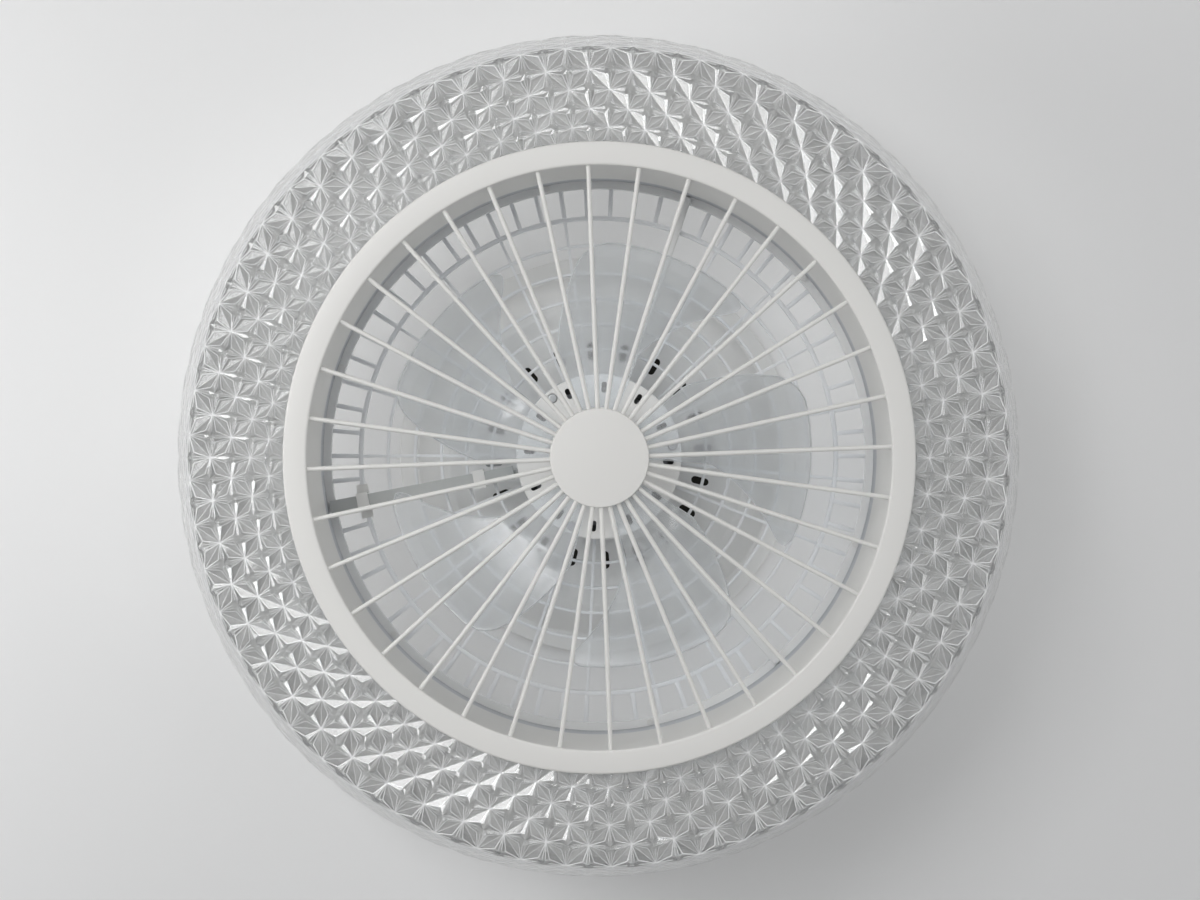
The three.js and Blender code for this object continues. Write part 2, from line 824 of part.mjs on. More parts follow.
// Shade: rows of square pyramids between stars, closed by a plain inside and a lip
const halfPitch = Math.PI / facetCount;
const shadeBase = trimBack + fit + facetHeight; // level of the stars beside the trim ring
const cornerLevel = shadeBase + frontSlope;
const lipBottom = lipTop - lipThickness;

const shadeInner = trimBore + collarWall + fit;
const frontRows = Math.round(Math.log(cornerRadius / shadeInner) / Math.log1p(halfPitch));

function facetRows() {
  const rows = [[shadeInner, shadeBase]];
  for (let i = 1; i < frontRows; i++) {
    const radius = shadeInner * (cornerRadius / shadeInner) ** (i / frontRows);
    const share = (radius - trimRadius) / (cornerRadius - trimRadius);
    rows.push([radius, shadeBase + frontSlope * Math.max(0, share)]);
  }
  for (let i = 0; i <= sideRows; i++) {
    const share = i / sideRows;
    const radius = THREE.MathUtils.lerp(cornerRadius, shadeRadius, share);
    rows.push([radius, THREE.MathUtils.lerp(cornerLevel, lipBottom, share)]);
  }
  return rows;
}

function shade() {
  const points = facetRows().map(([radius, height]) => new THREE.Vector2(radius, height));
  const outward = points.map((point, i) => {
    const before = points[Math.max(i - 1, 0)];
    const after = points[Math.min(i + 1, points.length - 1)];
    const along = after.clone().sub(before).normalize();
    return new THREE.Vector2(along.y, -along.x);
  });
  const raised = points.map((point, i) => {
    const flat = i === 0 || i === points.length - 1;
    const relief = i > frontRows ? facetHeight * sideReliefShare : facetHeight;
    return point.clone().addScaledVector(outward[i], flat ? 0 : relief);
  });
  const corner = frontRows;
  const inside = (i) => points[i].clone().addScaledVector(outward[i], -shadeWall);
  const plain = [
    new THREE.Vector2(shadeRadius, lipTop),
    new THREE.Vector2(shadeRadius - lipWidth, lipTop),
    new THREE.Vector2(shadeRadius - lipWidth, lipBottom),
    new THREE.Vector2(shadeRadius - shadeWall, lipBottom - overrun),
    inside(corner),
    inside(0),
  ];
  const columns = 2 * facetCount;
  const loops = points.map((low, i) => ({ low, high: raised[i] }));
  plain.forEach((point) => loops.push({ low: point, high: point }));
  const positions = [];
  loops.forEach(({ low, high }, i) => {
    for (let j = 0; j < columns; j++) {
      const point = (i + j) % 2 === 0 ? low : high;
      const angle = j * halfPitch;
      positions.push(point.x * Math.cos(angle), point.x * Math.sin(angle), point.y);
    }
  });
  const index = [];
  loops.forEach((loop, i) => {
    const next = (i + 1) % loops.length;
    for (let j = 0; j < columns; j++) {
      const k = (j + 1) % columns;
      const [a, b, c, d] = [i * columns + j, next * columns + j, next * columns + k, i * columns + k];
      if ((i + j) % 2 === 0) index.push(a, c, b, a, d, c);
      else index.push(a, d, b, b, d, c);
    }
  });
  const body = new THREE.BufferGeometry()
    .setAttribute("position", new THREE.Float32BufferAttribute(positions, 3))
    .setIndex(index);
  const hole = () => pin(screwHole, lipBottom - overrun, lipTop + overrun).translate(shadeScrewReach, 0, 0);
  return cut(body, around(shadeScrewCount, hole, radians(armAngle)));
}

// Front ring: a flat face over the shade's edge and a collar down to the duct
function frontRing() {
  const back = trimBore + collarWall;
  return turned(
    [
      [trimBore, frontFace + trimRound],
      [trimBore + trimRound, frontFace],
      [trimRadius - trimRound, frontFace],
      [trimRadius, frontFace + trimRound],
      [trimRadius, trimBack],
      [back, trimBack],
      [back, collarTop],
      [trimBore, collarTop],
      [trimBore, frontFace + trimRound],
    ],
    ringSteps,
  );
}

// Grille: straight rods from a hub to the ring, and a flat disc over the hub
const rodLevel = frontFace + rodSetback;
const rodEnd = trimBore * Math.cos(Math.PI / ringSteps) - fit;

function grilleSpokes() {
  const rod = () =>
    new THREE.CylinderGeometry(rodRadius, rodRadius, rodEnd - grilleHub / 2, rodSides)
      .rotateZ(-Math.PI / 2)
      .translate((rodEnd + grilleHub / 2) / 2, 0, rodLevel);
  const low = frontFace + capThickness + fit;
  return join([disc(grilleHub, low, low + grilleHubThickness, hubSteps), ...around(rodCount, rod)]);
}

function grilleCap() {
  return disc(capDisc, frontFace, frontFace + capThickness, hubSteps);
}

// Finishes
const finishes = {
  whitePaint: { color: 0xe9e9e7, roughness: 0.55, metalness: 0 },
  whitePlastic: { color: 0xe4e4e2, roughness: 0.45, metalness: 0 },
  clearAcrylic: { color: 0xd6dade, roughness: 0.08, metalness: 0 },
  frostedAcrylic: { color: 0xc4ccd4, roughness: 0.35, metalness: 0 },
  zincSteel: { color: 0xb4b6b8, roughness: 0.35, metalness: 1 },
  castAluminium: { color: 0xc4c6c8, roughness: 0.45, metalness: 1 },
  greyPlastic: { color: 0xa6a8a7, roughness: 0.5, metalness: 0 },
  coreSteel: { color: 0x73767a, roughness: 0.5, metalness: 1 },
  copperWire: { color: 0xb3683a, roughness: 0.35, metalness: 1 },
  magnet: { color: 0x3a3b3d, roughness: 0.6, metalness: 0 },
};

const light = new THREE.Group();

function add(parent, name, geometry, finish) {
  const mesh = new THREE.Mesh(geometry, new THREE.MeshStandardMaterial(finishes[finish]));
  mesh.name = name;
  parent.add(mesh);
  return mesh;
}

function addAround(parent, name, count, make, finish, start = 0) {
  for (let i = 0; i < count; i++)
    add(parent, `${name}_${i + 1}`, make(), finish).rotation.z = start + (i * fullTurn) / count;
}

// What hangs on the ceiling
add(light, "ceiling_bracket", ceilingBracket(), "zincSteel");
add(light, "canopy", canopy(), "whitePaint");
addAround(light, "canopy_screw", 2, canopyScrew, "zincSteel");
const sideways = (geometry, angle) => geometry.translate(0, boxReach, 0).rotateZ(angle - Math.PI / 2);
add(light, "led_driver", sideways(electricBox(boxLength, driverHeight), leadDirection), "whitePlastic");
const controllerBox = electricBox(boxLength, controllerHeight);
add(light, "fan_controller", sideways(controllerBox, leadDirection + Math.PI), "whitePlastic");
add(light, "terminal_block", sideways(terminalBlock(), leadDirection + Math.PI / 2), "whitePlastic");
add(light, "motor_mount", motorMount(), "castAluminium");
const mountScrew = () => screw(floorTop, mountScrewLength, screwHead, true).translate(mountScrewReach, 0, 0);
addAround(light, "mount_screw", mountScrewCount, mountScrew, "zincSteel");

// Fixed side of the motor
add(light, "motor_shaft", motorShaft(), "zincSteel");
add(light, "shaft_nut", nut(canopyFloor, canopyFloor + nutHeight), "zincSteel");
add(light, "shaft_lock_nut", nut(lockNutTop - lockNutHeight, lockNutTop), "zincSteel");
add(light, "motor_base", motorBase(), "castAluminium");
add(light, "motor_stator", motorStator(), "coreSteel");
add(light, "stator_windings", statorWindings(), "copperWire");

// The cage and the light, all turned with the arms
const cage = new THREE.Group();
cage.rotation.z = radians(armAngle);
light.add(cage);
add(cage, "rear_guard", rearGuard(), "whitePlastic");
addAround(cage, "support_arm", armCount, supportArm, "whitePaint");
const leadGroup = new THREE.Group();
leadGroup.rotation.z = (leadArm * fullTurn) / armCount;
cage.add(leadGroup);
add(leadGroup, "cable_channel", cableChannel(), "greyPlastic");
add(leadGroup, "channel_clip_outer", channelClip(ringRadii[ringRadii.length - 1], true), "whitePlastic");
add(leadGroup, "channel_clip_inner", channelClip(innerClipReach, false), "whitePlastic");
add(leadGroup, "led_lead", ledLead(), "greyPlastic");
add(cage, "chassis_plate", chassisPlate(), "whitePaint");
const guardScrew = () =>
  screw(flangeBottom, guardThickness + sheet, capRadius, false).translate(guardScrewReach, 0, 0);
addAround(cage, "guard_screw", guardScrewCount, guardScrew, "whitePlastic", guardScrewStart);
add(cage, "duct_wall", ductTube(), "frostedAcrylic");
add(cage, "led_board", ledBoard(), "whitePlastic");
const shadeScrewLength = sheet + lipThickness;
const shadeScrew = () => screw(rimTop, shadeScrewLength, screwHead, true).translate(shadeScrewReach, 0, 0);
addAround(cage, "shade_screw", shadeScrewCount, shadeScrew, "zincSteel");
add(cage, "front_ring", frontRing(), "whitePlastic");

add(light, "shade", shade(), "clearAcrylic");
add(light, "grille_spokes", grilleSpokes(), "whitePlastic").rotation.z = radians(rodAngle);
add(light, "grille_cap", grilleCap(), "whitePlastic");

// The rotor
const rotor = new THREE.Group();
rotor.rotation.z = radians(bladeAngle);
light.add(rotor);
add(rotor, "rotor_cover", rotorCover(), "castAluminium");
add(rotor, "rotor_housing", rotorHousing(), "whitePaint");
const magnetLow = statorMiddle - magnetHeight / 2;
const magnetRing = ring(magnetInner, magnetOuter, magnetLow, magnetLow + magnetHeight, hubSteps);
add(rotor, "rotor_magnets", magnetRing, "magnet");
add(rotor, "upper_bearing", bearing(coverTop - bearingHeight), "zincSteel");
add(rotor, "lower_bearing", bearing(rotorBottom - bearingSeat), "zincSteel");
addAround(rotor, "blade", bladeCount, blade, "clearAcrylic");
add(rotor, "blade_clamp", bladeClamp(), "whitePlastic");

export default light;
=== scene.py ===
"""A low ceiling light with a caged fan in its middle, seen from straight below.

Sizes are in millimetres and angles in degrees, as in the CAD; builders turn them to metres and radians.
Only the lamps are given in metres. +Z is up, z = 0 is the ceiling, and the fan's axis is the Z axis.
"""

import json
import math

import bmesh
import bpy
from mathutils import Matrix, Vector


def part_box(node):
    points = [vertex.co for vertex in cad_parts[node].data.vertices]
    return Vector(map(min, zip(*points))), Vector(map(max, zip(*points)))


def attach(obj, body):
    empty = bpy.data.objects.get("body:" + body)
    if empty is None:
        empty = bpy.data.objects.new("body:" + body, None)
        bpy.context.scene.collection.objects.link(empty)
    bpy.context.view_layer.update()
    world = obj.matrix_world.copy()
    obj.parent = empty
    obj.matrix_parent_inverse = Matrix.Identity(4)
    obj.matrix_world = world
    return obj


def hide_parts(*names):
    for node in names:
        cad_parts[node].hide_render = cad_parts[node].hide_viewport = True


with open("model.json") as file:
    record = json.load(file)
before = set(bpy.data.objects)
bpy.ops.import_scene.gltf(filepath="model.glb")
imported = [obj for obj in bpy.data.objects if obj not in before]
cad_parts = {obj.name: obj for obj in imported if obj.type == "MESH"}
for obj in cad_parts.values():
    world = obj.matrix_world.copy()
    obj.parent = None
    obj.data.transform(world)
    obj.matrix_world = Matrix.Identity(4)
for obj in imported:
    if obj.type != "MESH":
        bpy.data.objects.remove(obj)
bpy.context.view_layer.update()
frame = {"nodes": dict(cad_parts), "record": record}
nodes = frame["nodes"]
scene = bpy.context.scene

MM = 0.001
TAU = 2 * math.pi
FIXED, TURNING = "fixture", "rotor"  # the two CAD bodies


# Sizes that the frame gives


def reach(node):
    """Largest distance of a node's points from the axis."""
    return max(point.co.xy.length for point in nodes[node].data.vertices) / MM


def bottom(node):
    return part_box(node)[0].z / MM


def top(node):
    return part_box(node)[1].z / MM


BLADE_SEAT = 2  # room for the blades' roots between rotor and clamp
FRONT = bottom("front_ring")
CANOPY_FLOOR = bottom("canopy")
GUARD_TOP, GUARD_BOTTOM = top("rear_guard"), bottom("rear_guard")
ROTOR_FACE = top("blade_clamp") + BLADE_SEAT
ROTOR_TOP = top("rotor_housing")
BOARD_FACE = bottom("led_board")

# Roundness
FINE_STEPS = 192
SMALL_STEPS = 48
ARC_STEPS = 4
WELD = 1e-6
SHELL_WELD = 10 * WELD

# Directions about the axis
CAGE_ANGLE = 49.1
ROD_ANGLE = 7.8
VENT_ANGLE = -4
ROTOR_ANGLE = -18
ROTOR_SLOT_ANGLE = 4.2


# Nodes


def add(tree, kind, links=None, **settings):
    """Adds a node. links sets sockets, by name or number, to a value, another node's socket or several."""
    made = tree.nodes.new(kind)
    for name, value in settings.items():
        setattr(made, name, value)
    for socket, value in (links or {}).items():
        for one in value if isinstance(value, list) else [value]:
            if isinstance(one, bpy.types.NodeSocket):
                tree.links.new(one, made.inputs[socket])
            else:
                made.inputs[socket].default_value = one
    return made


def maths(tree, operation, *values):
    """The result of a Math node."""
    return add(tree, "ShaderNodeMath", dict(enumerate(values)), operation=operation).outputs[0]


def ranged(tree, value, source, target):
    """A value brought from one range to another."""
    ends = {1: source[0], 2: source[1], 3: target[0], 4: target[1]}
    return add(tree, "ShaderNodeMapRange", {0: value, **ends}).outputs[0]


def noise(tree, place, scale, detail):
    return add(tree, "ShaderNodeTexNoise", {"Vector": place, "Scale": scale, "Detail": detail}).outputs[0]


def linear(hex_colour):
    """An sRGB hex colour as linear RGBA."""
    shares = [int(hex_colour[i : i + 2], 16) / 255 for i in (1, 3, 5)]
    return (*[s / 12.92 if s <= 0.04045 else ((s + 0.055) / 1.055) ** 2.4 for s in shares], 1)


def blend(tree, share, first, second):
    """A mix of two hex colours."""
    sockets = {0: share, 6: linear(first), 7: linear(second)}
    return add(tree, "ShaderNodeMix", sockets, data_type="RGBA").outputs[2]


def cleared(owner):
    """The emptied node tree of a material or a world."""
    owner.use_nodes = True
    owner.node_tree.nodes.clear()
    return owner.node_tree


# Meshes


def mesh_of(name, points, faces):
    """A mesh of points in millimetres, its faces turned outwards."""
    mesh = bpy.data.meshes.new(name)
    mesh.from_pydata([Vector(point) * MM for point in points], [], faces)
    return outward(mesh)


def outward(mesh, merge=WELD):
    build = bmesh.new()
    build.from_mesh(mesh)
    bmesh.ops.remove_doubles(build, verts=build.verts, dist=merge)
    bmesh.ops.recalc_face_normals(build, faces=build.faces)
    build.to_mesh(mesh)
    build.free()
    return mesh


def section(inner, outer, low, high):
    """A rectangular outline of (radius, level) points."""
    return [(inner, low), (outer, low), (outer, high), (inner, high)]


def softened(outline, fillet):
    """An outline of (radius, level) points whose corners off the axis are rounded."""
    soft = []
    longest = 0.45  # of a side, taken by the rounding of either end
    for i, corner in enumerate(outline):
        here = Vector(corner)
        if here.x == 0:
            soft.append(here)
            continue
        before, after = Vector(outline[i - 1]), Vector(outline[(i + 1) % len(outline)])
        cut = min(fillet, (before - here).length * longest, (after - here).length * longest)
        start = here + (before - here).normalized() * cut
        end = here + (after - here).normalized() * cut
        for k in range(ARC_STEPS + 1):
            t = k / ARC_STEPS
            soft.append(start * (1 - t) ** 2 + here * 2 * t * (1 - t) + end * t**2)
    return soft


def turned(name, outline, fillet=0.4, steps=FINE_STEPS):
    """A closed solid, turned about the axis from its outline."""
    outline = softened(outline, fillet)
    points, rings = [], []
    for radius, level in outline:
        count = 1 if radius < WELD else steps
        rings.append(range(len(points), len(points) + count))
        points += [
            (radius * math.cos(TAU * k / steps), radius * math.sin(TAU * k / steps), level)
            for k in range(count)
        ]
    faces = []
    for i, ring in enumerate(rings):
        after = rings[(i + 1) % len(rings)]
        for k in range(steps if len(ring) + len(after) > 2 else 0):
            here, there = k % len(ring), k % len(after)
            next_here, next_there = (k + 1) % len(ring), (k + 1) % len(after)
            corners = [ring[here], after[there], after[next_there], ring[next_here]]
            faces.append(list(dict.fromkeys(corners)))
    return mesh_of(name, points, faces)


def slab(name, outline, low, high):
    """An upright slab with a flat outline."""
    count = len(outline)
    points = [(x, y, low) for x, y in outline] + [(x, y, high) for x, y in outline]
    sides = [(i, (i + 1) % count, (i + 1) % count + count, i + count) for i in range(count)]
    return mesh_of(name, points, [list(range(count))[::-1], list(range(count, 2 * count)), *sides])


def bar(name, start, end, width, low, high):
    """A straight bar along X with the given ends."""
    half = width / 2
    return slab(name, [(start, -half), (end, -half), (end, half), (start, half)], low, high)


def pill(name, distance, length, width, low, high):
    """A round-ended slug whose length lies along X, its centre at a distance from the axis."""
    half, round_end = (length - width) / 2, width / 2
    outline = []
    for side in (1, -1):
        for k in range(SMALL_STEPS // 2 + 1):
            angle = TAU * (k / SMALL_STEPS - 0.25 * side)
            middle = distance + side * half
            outline.append((middle + round_end * math.cos(angle), round_end * math.sin(angle)))
    return slab(name, outline, low, high)


def joined(name, meshes):
    build = bmesh.new()
    for mesh in meshes:
        build.from_mesh(mesh)
    whole = bpy.data.meshes.new(name)
    build.to_mesh(whole)
    build.free()
    return whole


def rotated(mesh, degrees):
    mesh.transform(Matrix.Rotation(math.radians(degrees), 4, "Z"))
    return mesh


def moved(mesh, x, y=0, z=0):
    mesh.transform(Matrix.Translation(Vector((x, y, z)) * MM))
    return mesh


def placed(name, data):
    """A new object in the scene."""
    made = bpy.data.objects.new(name, data)
    scene.collection.objects.link(made)
    return made


def stock(mesh):
    """An object that lends its mesh to a tree or takes modifiers, and is removed afterwards."""
    return placed(mesh.name, mesh)


def finished_mesh(worker, name):
    """The evaluated mesh of a working object, as a plain mesh. The object goes."""
    mesh = bpy.data.meshes.new_from_object(worker.evaluated_get(bpy.context.evaluated_depsgraph_get()))
    mesh.name = name
    bpy.data.objects.remove(worker)
    return mesh


def bevel_edges(worker, width, segments, angle):
    bevel = worker.modifiers.new("edge", "BEVEL")
    bevel.width, bevel.segments = width * MM, segments
    bevel.limit_method, bevel.angle_limit = "ANGLE", math.radians(angle)


def rounded(mesh, width, segments=2):
    """The mesh with its sharp edges rounded."""
    worker = stock(mesh)
    bevel_edges(worker, width, segments, angle=30)
    return finished_mesh(worker, mesh.name)


def grown(tree, name, body, **inputs):
    """Runs a Geometry Nodes tree on a mesh and gives the result as a plain mesh."""
    worker = stock(body)
    modifier = worker.modifiers.new(tree.name, "NODES")
    modifier.node_group = tree
    lent = []
    for item in tree.interface.items_tree:
        value = inputs.get(item.name)
        if item.in_out != "INPUT" or value is None:
            continue
        if isinstance(value, bpy.types.Mesh):
            value = stock(value)
            lent.append(value)
        modifier[item.identifier] = value
    mesh = finished_mesh(worker, name)
    for one in lent:
        bpy.data.objects.remove(one)
    return mesh


def new_tree(name, inputs):
    tree = bpy.data.node_groups.new(name, "GeometryNodeTree")
    for socket, kind in inputs.items():
        tree.interface.new_socket(socket, in_out="INPUT", socket_type="NodeSocket" + kind)
    tree.interface.new_socket("Result", in_out="OUTPUT", socket_type="NodeSocketGeometry")
    return tree, add(tree, "NodeGroupInput").outputs


def on_points(tree, count, piece, turn, **where):
    """Real copies of a piece on points. turn is the Z angle of each, and where may give their positions."""
    places = add(tree, "GeometryNodePoints", {"Count": count, **where}).outputs[0]
    rotation = add(tree, "ShaderNodeCombineXYZ", {"Z": turn}).outputs[0]
    sockets = {"Points": places, "Instance": piece, "Rotation": rotation}
    copies = add(tree, "GeometryNodeInstanceOnPoints", sockets).outputs[0]
    return add(tree, "GeometryNodeRealizeInstances", {0: copies}).outputs[0]


def paint_and_close(tree, geometry, paint):
    """Ends a tree with Set Material."""
    painted = add(tree, "GeometryNodeSetMaterial", {"Geometry": geometry, "Material": paint})
    add(tree, "NodeGroupOutput", {0: painted.outputs[0]})


def pattern_tree(name, cuts):
    """Repeats a piece about the axis, and adds the copies to a body or cuts them out of it."""
    inputs = {"Body": "Geometry", "Piece": "Object", "Count": "Int", "Start": "Float", "Finish": "Material"}
    tree, given = new_tree(name, inputs)
    piece = add(tree, "GeometryNodeObjectInfo", {"Object": given["Piece"]}).outputs["Geometry"]
    index = add(tree, "GeometryNodeInputIndex").outputs[0]
    step = maths(tree, "DIVIDE", TAU, given["Count"])
    angle = maths(tree, "MULTIPLY_ADD", index, step, given["Start"])
    real = on_points(tree, given["Count"], piece, angle)
    if cuts:
        sockets = {0: given["Body"], 1: real}
        whole = add(tree, "GeometryNodeMeshBoolean", sockets, operation="DIFFERENCE", solver="EXACT")
    else:
        whole = add(tree, "GeometryNodeJoinGeometry", {0: [given["Body"], real]})
    paint_and_close(tree, whole.outputs[0], given["Finish"])
    return tree


REPEATED = pattern_tree("repeated_about_the_axis", False)
PIERCED = pattern_tree("pierced_about_the_axis", True)


def repeated(name, piece, count, start, body=None):
    body = body or bpy.data.meshes.new(name)
    return grown(REPEATED, name, body, Piece=piece, Count=count, Start=math.radians(start))


def pierced(body, cutter, count, start):
    return grown(PIERCED, body.name, body, Piece=cutter, Count=count, Start=math.radians(start))


# Finishes

CLOUD = 70  # size of the slow drift in colour and gloss
CLOUD_RANGE = (0.3, 0.7)  # noise seldom leaves it
DRIFT_GAIN, DRIFT_START = 0.75, 0.12  # share of the second colour
BAND_SCALE = 0.5
RIDGE_CORE = 0.6  # RIDGE_CORE = 0.6 # nearness to an edge from which the painted highlight line is full
RIDGE_CLEAR = 0.2  # how clear it is there


def ridge_highlights(tree, attribute, clear_share):
    """How clear a piece is: less so near the edges that an attribute marks, where the milky lines are a
    painted highlight for rounded facet edges.
    """
    near = add(tree, "ShaderNodeAttribute", attribute_name=attribute).outputs["Vector"]
    parts = add(tree, "ShaderNodeSeparateXYZ", {0: near}).outputs
    most = maths(tree, "MAXIMUM", maths(tree, "MAXIMUM", parts[0], parts[1]), parts[2])
    return ranged(tree, most, (0, RIDGE_CORE), (clear_share, RIDGE_CLEAR))


def finish(
    name, colours, roughness, grain, relief, bands=None, lets_lamps_through=None, ridges=None, **shader
):
    """A finish whose colour and gloss drift between two values, with a fine relief.

    grain is the relief's size and relief its depth, both in millimetres. bands names the axis of a layered
    surface. lets_lamps_through is the tint of what light a clear piece passes on. ridges names an
    attribute that rises to 1 on a clear piece's facet edges, which are made milky there as painted highlight
    lines.
    """
    material = bpy.data.materials.new(name)
    tree = cleared(material)
    place = add(tree, "ShaderNodeTexCoord").outputs["Object"]
    scaled = add(tree, "ShaderNodeMapping", {"Vector": place, "Scale": (1 / (grain * MM),) * 3}).outputs[0]
    if bands:
        wave = {"Vector": scaled, "Scale": BAND_SCALE, "Distortion": 0.6, "Detail": 1}
        fine = add(tree, "ShaderNodeTexWave", wave, bands_direction=bands).outputs["Fac"]
    else:
        fine = noise(tree, scaled, 1, 3)
    cloud = noise(tree, place, 1 / (CLOUD * MM), 2)
    drift = maths(tree, "MULTIPLY_ADD", fine if bands else cloud, DRIFT_GAIN, DRIFT_START)
    bump = add(tree, "ShaderNodeBump", {"Height": fine, "Distance": relief * MM, "Strength": 1})
    sockets = {
        "Base Color": blend(tree, drift, *colours),
        "Roughness": ranged(tree, cloud, CLOUD_RANGE, roughness),
        "Normal": bump.outputs[0],
        **{socket.replace("_", " "): value for socket, value in shader.items()},
    }
    if ridges:
        # Painted highlight: near the facet edges the acrylic is made milky so that they read as bright lines
        sockets["Transmission Weight"] = ridge_highlights(tree, ridges, shader["Transmission_Weight"])
    surface = add(tree, "ShaderNodeBsdfPrincipled", sockets).outputs[0]
    if lets_lamps_through:
        lamp_ray = add(tree, "ShaderNodeLightPath").outputs["Is Shadow Ray"]
        clear = add(tree, "ShaderNodeBsdfTransparent", {"Color": linear(lets_lamps_through)})
        surface = add(tree, "ShaderNodeMixShader", {0: lamp_ray, 1: surface, 2: clear.outputs[0]}).outputs[0]
    add(tree, "ShaderNodeOutputMaterial", {"Surface": surface})
    return material


PMMA_IOR = 1.49
FINISHES = {
    # Powder coat on steel: satin, with a low orange peel
    "white_paint": finish("white_powder_coat", ("#E2E2E1", "#E9E9E7"), (0.46, 0.58), 1.4, 0.02),
    # Moulded ABS: an even fine spark texture, slightly warm
    "white_plastic": finish("white_satin_abs", ("#DDDCD9", "#E3E2DF"), (0.36, 0.46), 0.8, 0.012),
    # Moulded nylon: cooler and a little duller than the ring
    "guard_plastic": finish("white_nylon", ("#E4E6E8", "#ECEDEE"), (0.42, 0.55), 1.0, 0.02),
    # Polished cast of clear acrylic: faint flow marks, and painted highlight lines along the facet edges
    "clear_acrylic": finish(
        "clear_acrylic", ("#F2F3F3", "#FAFAFA"), (0.02, 0.06), 6, 0.02, lets_lamps_through="#848485",
        ridges="ridge", Transmission_Weight=0.9, IOR=PMMA_IOR, Coat_Weight=1.0, Coat_Roughness=0.03,
    ),
    # The blades' acrylic is hazy, nearly neutral, with a smoother skin
    "blade_acrylic": finish(
        "hazy_acrylic", ("#E0E2E3", "#E8E9EA"), (0.1, 0.16), 18, 0.03, lets_lamps_through="#E0E4E8",
        Transmission_Weight=0.84, IOR=PMMA_IOR,
    ),
    # Sheared edge of the same acrylic: finely scored, so it scatters and looks milky
    "blade_edge": finish(
        "scored_acrylic_edge", ("#D9DDE0", "#E3E6E8"), (0.3, 0.4), 0.8, 0.02, lets_lamps_through="#D5DADF",
        Transmission_Weight=0.35, IOR=PMMA_IOR,
    ),
    # Acid-frosted acrylic: milky, passes light without a picture
    "frosted_acrylic": finish(
        "frosted_acrylic", ("#CED1D5", "#D8DADE"), (0.42, 0.55), 1.2, 0.03, lets_lamps_through="#C2C6CA",
        Transmission_Weight=0.45, IOR=PMMA_IOR,
    ),
    # Zinc plate: grey-blue with crystalline patches
    "zinc_steel": finish("zinc_plated_steel", ("#9EA1A4", "#C4C6C8"), (0.26, 0.42), 2.2, 0.01, Metallic=1.0),
    # Sand-cast aluminium: open, matt grain
    "cast_aluminium": finish("cast_aluminium", ("#B4B6B8", "#C6C8CA"), (0.42, 0.58), 0.9, 0.05, Metallic=1.0),
    # Pressed grey polypropylene
    "grey_plastic": finish("grey_polypropylene", ("#AEB0AF", "#BABCBA"), (0.4, 0.52), 1.0, 0.02),
    # White solder mask over copper tracks: shallow steps show through
    "board_white": finish("white_solder_mask", ("#E0E0DC", "#E9E9E6"), (0.3, 0.4), 7, 0.035),
    # Stacked half-millimetre laminations
    "core_steel": finish(
        "laminated_steel", ("#5E6165", "#83868A"), (0.35, 0.5), 0.5, 0.05, bands="Z", Metallic=1.0
    ),
    # Enamelled winding wire, 0.6 mm thick
    "copper_wire": finish(
        "enamelled_copper", ("#8C4A22", "#C27440"), (0.22, 0.34), 0.6, 0.15, bands="Z", Metallic=1.0
    ),
    # Sintered ferrite: near-black, sandy
    "magnet_ferrite": finish("sintered_ferrite", ("#303133", "#414346"), (0.6, 0.75), 0.7, 0.04),
}
# Silicone over the diodes: almost white, glossy
PHOSPHOR = finish("led_silicone", ("#DDDCD2", "#E6E5DC"), (0.18, 0.28), 1.0, 0.02)

PAINTED_OVER = ("canopy_screw_1", "canopy_screw_2")  # zinc screws under the canopy's paint
slot_of = {part["node"]: part["material_slot"] for part in frame["record"]["subparts"]}
for name, node in nodes.items():
    node.data.materials.clear()
    node.data.materials.append(FINISHES["white_paint" if name in PAINTED_OVER else slot_of[name]])

EDGE_LEAN = 0.85  # faces whose normal rises less than this belong to a level sheet's edge


def piece(name, mesh, body, slot, stands_for=(), material=None, edge=None, crease=30):
    """Shows a mesh as a finished piece that rides on a body and stands for CAD nodes.

    edge is the finish of a level sheet's edges, where it differs.
    """
    mesh.name = name
    mesh.materials.clear()
    mesh.materials.append(material or FINISHES[slot])
    mesh.polygons.foreach_set("material_index", [0] * len(mesh.polygons))
    if edge:
        mesh.materials.append(edge)
        for face in mesh.polygons:
            face.material_index = int(abs(face.normal.z) < EDGE_LEAN)
    mesh.shade_smooth()
    mesh.set_sharp_from_angle(angle=math.radians(crease))
    made = placed(name, mesh)
    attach(made, body)
    if stands_for:
        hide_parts(*stands_for)
    return made


# Shade: star facets outside, a plain inside

STARS = 57  # in one turn
FRONT_ROWS = 6
SIDE_ROWS = 5
SHADE_BORE = 166.5
SHADE_CORNER = 231
SHADE_RISE = 3.5  # of the front face from trim ring to corner
SHADE_BASE = FRONT + 7.5
FACET_HEIGHT = 3.9  # at the corner
SIDE_RELIEF = 0.25  # height of the corner's and the side's facets, as a share of the front's
SHADE_WALL = 2.2
LIP_WIDTH = 9
LIP_THICKNESS = 2.5
PETAL_REACH = 0.5  # a petal's tip, from the middle of a cell's side to its centre
PETAL_HEIGHT = 0.3  # and its height, as a share of the centre's
SPINE_HEIGHT = 0.72  # of the spine between two wedges, where it meets the cell's table
SPINE_SHARE = 0.3  # of a wedge's outer end, taken by the spine
RIDGE = 0.03  # RIDGE = 0.03 # half-width of the painted highlight lines along the edges between petals and wedges, as a share of a tile
FAINT_RIDGE = 0.02
ROW_SLACK = 0.001  # keeps a point on a row from falling to the row before
EDGE_SLACK = 0.01


